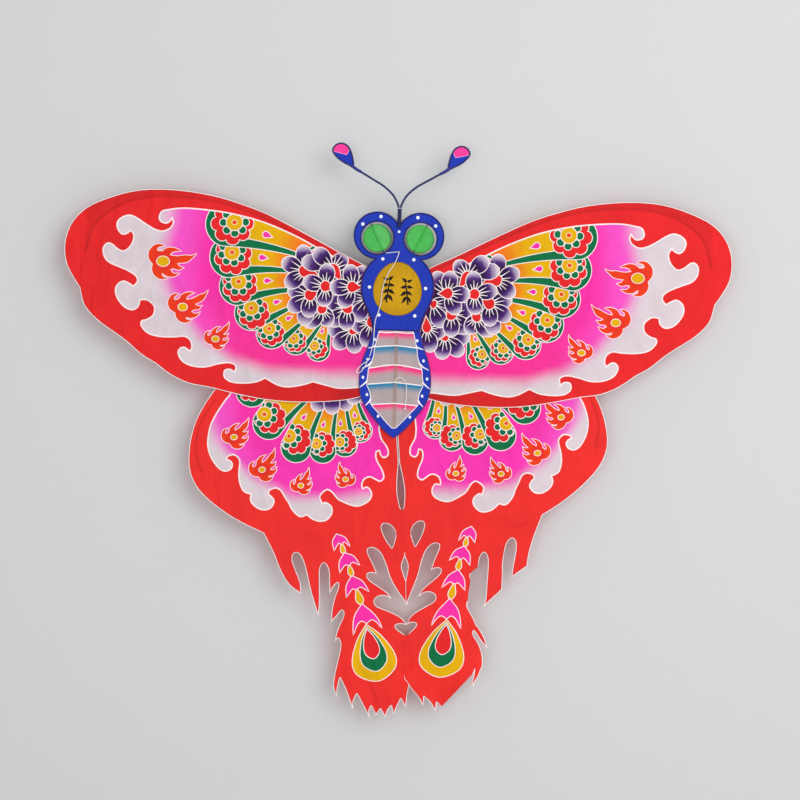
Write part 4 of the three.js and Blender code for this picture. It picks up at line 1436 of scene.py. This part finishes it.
def feeler(side_name, side):
    """One feeler: a wire frame on a stalk, with a blue film whose tip is pink."""
    body = f"{side_name}_antenna"
    node = f"{side_name}_antenna_skin"
    loop = loops_of(node)[0]
    dye_and_shade = Print()
    dye_and_shade.add([(x * side, z) for x, z in FEELER_TIP], linear(244, 60, 150), 0.25)
    film = painted(f"{side_name}_antenna_film", [grown(loop, 0.9)], dye_and_shade, lambda p: p,
                   lambda x, z: FEELER_Y - 0.2, SKIN, BLUE, 3.0)
    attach(film, body)
    stretched(node)
    wire = smooth([(x * side, FEELER_Y, z) for x, z in FEELER_WIRE], 8)
    sleeve = smooth([(x * side, FEELER_Y, z) for x, z in FEELER_SLEEVE], 4)
    frame_line = [(x, FEELER_Y, z) for x, z in grown(loop, 1.0)]
    stalk = tube(f"{side_name}_antenna_stalk", wire, 1.3, WIRE, body)
    rim = tube(f"{side_name}_antenna_rim", frame_line, 1.05, WIRE, body, closed=True)
    wrap = tube(f"{side_name}_antenna_sleeve", sleeve, 2.0, NAVY_HEM, body,
                profile=lambda t: 0.85 + 0.15 * abs(math.sin(40 * t)))
    for piece in (stalk, rim, wrap):
        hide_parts(f"{side_name}_antenna_wire")


def feeler_stem():
    """The wire wound round the foot of both feelers."""
    turns = [[(2.1 * math.cos(a), FEELER_Y + 0.95 * math.sin(a), STEM_FOOT + k * STEM_PITCH)
              for a in circle_angles(16)] for k in range(STEM_TURNS)]
    stem = tube("antenna_stem_wrap", None, 0.45, WIRE, closed=True, sides=6, parts=turns)
    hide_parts("antenna_stem")


for side_name, side in SIDES:
    feeler(side_name, side)
feeler_stem()

# ---------------------------------------------------------------- eyes

EYE = Vector((25.8, -8.6, 61))
EYE_RADIUS, EYE_TILT, EYE_LEAN = 16.6, math.radians(8), math.radians(25)
EYE_FOLD = 0.07  # how steeply each half of the disc rises from the fold
EYE_BORE = 1.2  # where the foil starts, beside the tube
CRIMP_HALF = 16.4  # half length of the tube
EYE_ROWS, EYE_COLUMNS = 24, 10


def foil_disc():
    """Both halves of a crinkled disc folded along its upright middle, as vertices in mm and faces."""
    vertices, faces = [], []
    for hand in (1, -1):
        first = len(vertices)
        for i in range(EYE_ROWS + 1):
            angle = math.pi * (i / EYE_ROWS - 0.5)
            for j in range(EYE_COLUMNS + 1):
                r = EYE_BORE + (EYE_RADIUS - EYE_BORE) * j / EYE_COLUMNS
                u, v = r * math.cos(angle), r * math.sin(angle)
                lift = 0.25 * ripple(u, v, 5, 5, hand) * j / EYE_COLUMNS + EYE_FOLD * u
                vertices.append(Vector((hand * u, lift, v)))
        for i in range(EYE_ROWS):
            for j in range(EYE_COLUMNS):
                a = first + i * (EYE_COLUMNS + 1) + j
                face = (a, a + 1, a + EYE_COLUMNS + 2, a + EYE_COLUMNS + 1)
                faces.append(face if hand > 0 else face[::-1])
    return vertices, faces


def eye_disc(side_name, side):
    """One eye: the foil disc on its slanting axle, with a crimped tube down the fold."""
    body = f"{side_name}_spinner"
    centre = Vector((EYE.x * side, EYE.y, EYE.z))
    tilt = Quaternion((0, 0, 1), EYE_TILT)
    lean = Quaternion((0, 1, 0), EYE_LEAN * side)
    vertices, faces = foil_disc()
    turned = [(lean @ (tilt @ p) + centre) * MM for p in vertices]
    disc = mesh_object(f"{side_name}_eye_foil", turned, faces, FOIL)
    thick = disc.modifiers.new("thickness", "SOLIDIFY")
    thick.thickness = 0.35 * MM
    thick.offset = 0
    axis = Vector((math.sin(EYE_LEAN) * side, 0, math.cos(EYE_LEAN)))
    line = [tuple(centre + axis * (t / 12 - 1) * CRIMP_HALF) for t in range(25)]
    crimp = tube(f"{side_name}_eye_tube", line, 1.25, FOIL, body, sides=12,
                 profile=lambda t: 1 + 0.08 * math.sin(24 * math.pi * t))
    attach(disc, body)
    for piece in (disc, crimp):
        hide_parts(f"{side_name}_eye_spinner")


for side_name, side in SIDES:
    eye_disc(side_name, side)

# ---------------------------------------------------------------- frame pieces that keep their CAD shape

def finish_of(name):
    """The material of a frame piece that has no piece of its own, or None."""
    if name.endswith("_stick"):
        return BAMBOO_UP if "abdomen" in name else BAMBOO_ACROSS
    if name == "spine" or name.endswith("_hoop"):
        return BAMBOO_UP
    if name.endswith("_socket"):
        return VINYL
    return WIRE if name.endswith("_axle") else None


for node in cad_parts.values():
    finish = finish_of(node.name)
    if finish:
        node.data.materials.clear()
        node.data.materials.append(finish)

# ---------------------------------------------------------------- floor, wall and light

FLOOR = -0.72
WALL = 0.022  # just behind the kite


def wall_material():
    """Matt grey from the front, and clear from behind, so that the kite's back can be seen."""
    made, tree, shader = node_material("wall", 0.9)
    feed(tree, shader.inputs["Base Color"], linear(200, 201, 202))
    facing = add_node(tree, "ShaderNodeNewGeometry")
    clear = add_node(tree, "ShaderNodeBsdfTransparent")
    mix_surface(tree, facing.outputs["Backfacing"], shader, clear)
    return made


def floor_material():
    made, tree, shader = node_material("floor", 0.8)
    feed(tree, shader.inputs["Base Color"], linear(224, 224, 226))
    return made


def plain_stage(name, corners, material):
    mesh_object(name, corners, [(0, 1, 2, 3)], material, [False])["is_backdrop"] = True


def area_light(name, place, aim, size, power):
    light = bpy.data.lights.new(name, "AREA")
    light.shape = "SQUARE"
    light.size = size
    light.energy = power
    made = bpy.data.objects.new(name, light)
    made.location = place
    made.rotation_euler = (Vector(aim) - Vector(place)).to_track_quat("-Z", "Y").to_euler()
    bpy.context.collection.objects.link(made)


plain_stage("wall", [(-3, WALL, FLOOR), (3, WALL, FLOOR), (3, WALL, 2.4), (-3, WALL, 2.4)], wall_material())
plain_stage("floor", [(-4, -5, FLOOR), (4, -5, FLOOR), (4, 5, FLOOR), (-4, 5, FLOOR)], floor_material())
area_light("key", place=(1.4, -2.2, 0.8), aim=(0, 0, -0.2), size=2.0, power=35)
area_light("fill", place=(-0.4, -3.0, -1.0), aim=(-0.05, 0, -0.5), size=2.0, power=51)
world = bpy.data.worlds.new("studio")
world.use_nodes = True
background = world.node_tree.nodes["Background"]
feed(world.node_tree, background.inputs["Color"], (0.99, 1.0, 1.0))
feed(world.node_tree, background.inputs["Strength"], 0.66)
bpy.context.scene.world = world

boxes = {"cad": cad_box, "visual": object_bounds()}
{k: [list(corner) for corner in v] for k, v in boxes.items()}
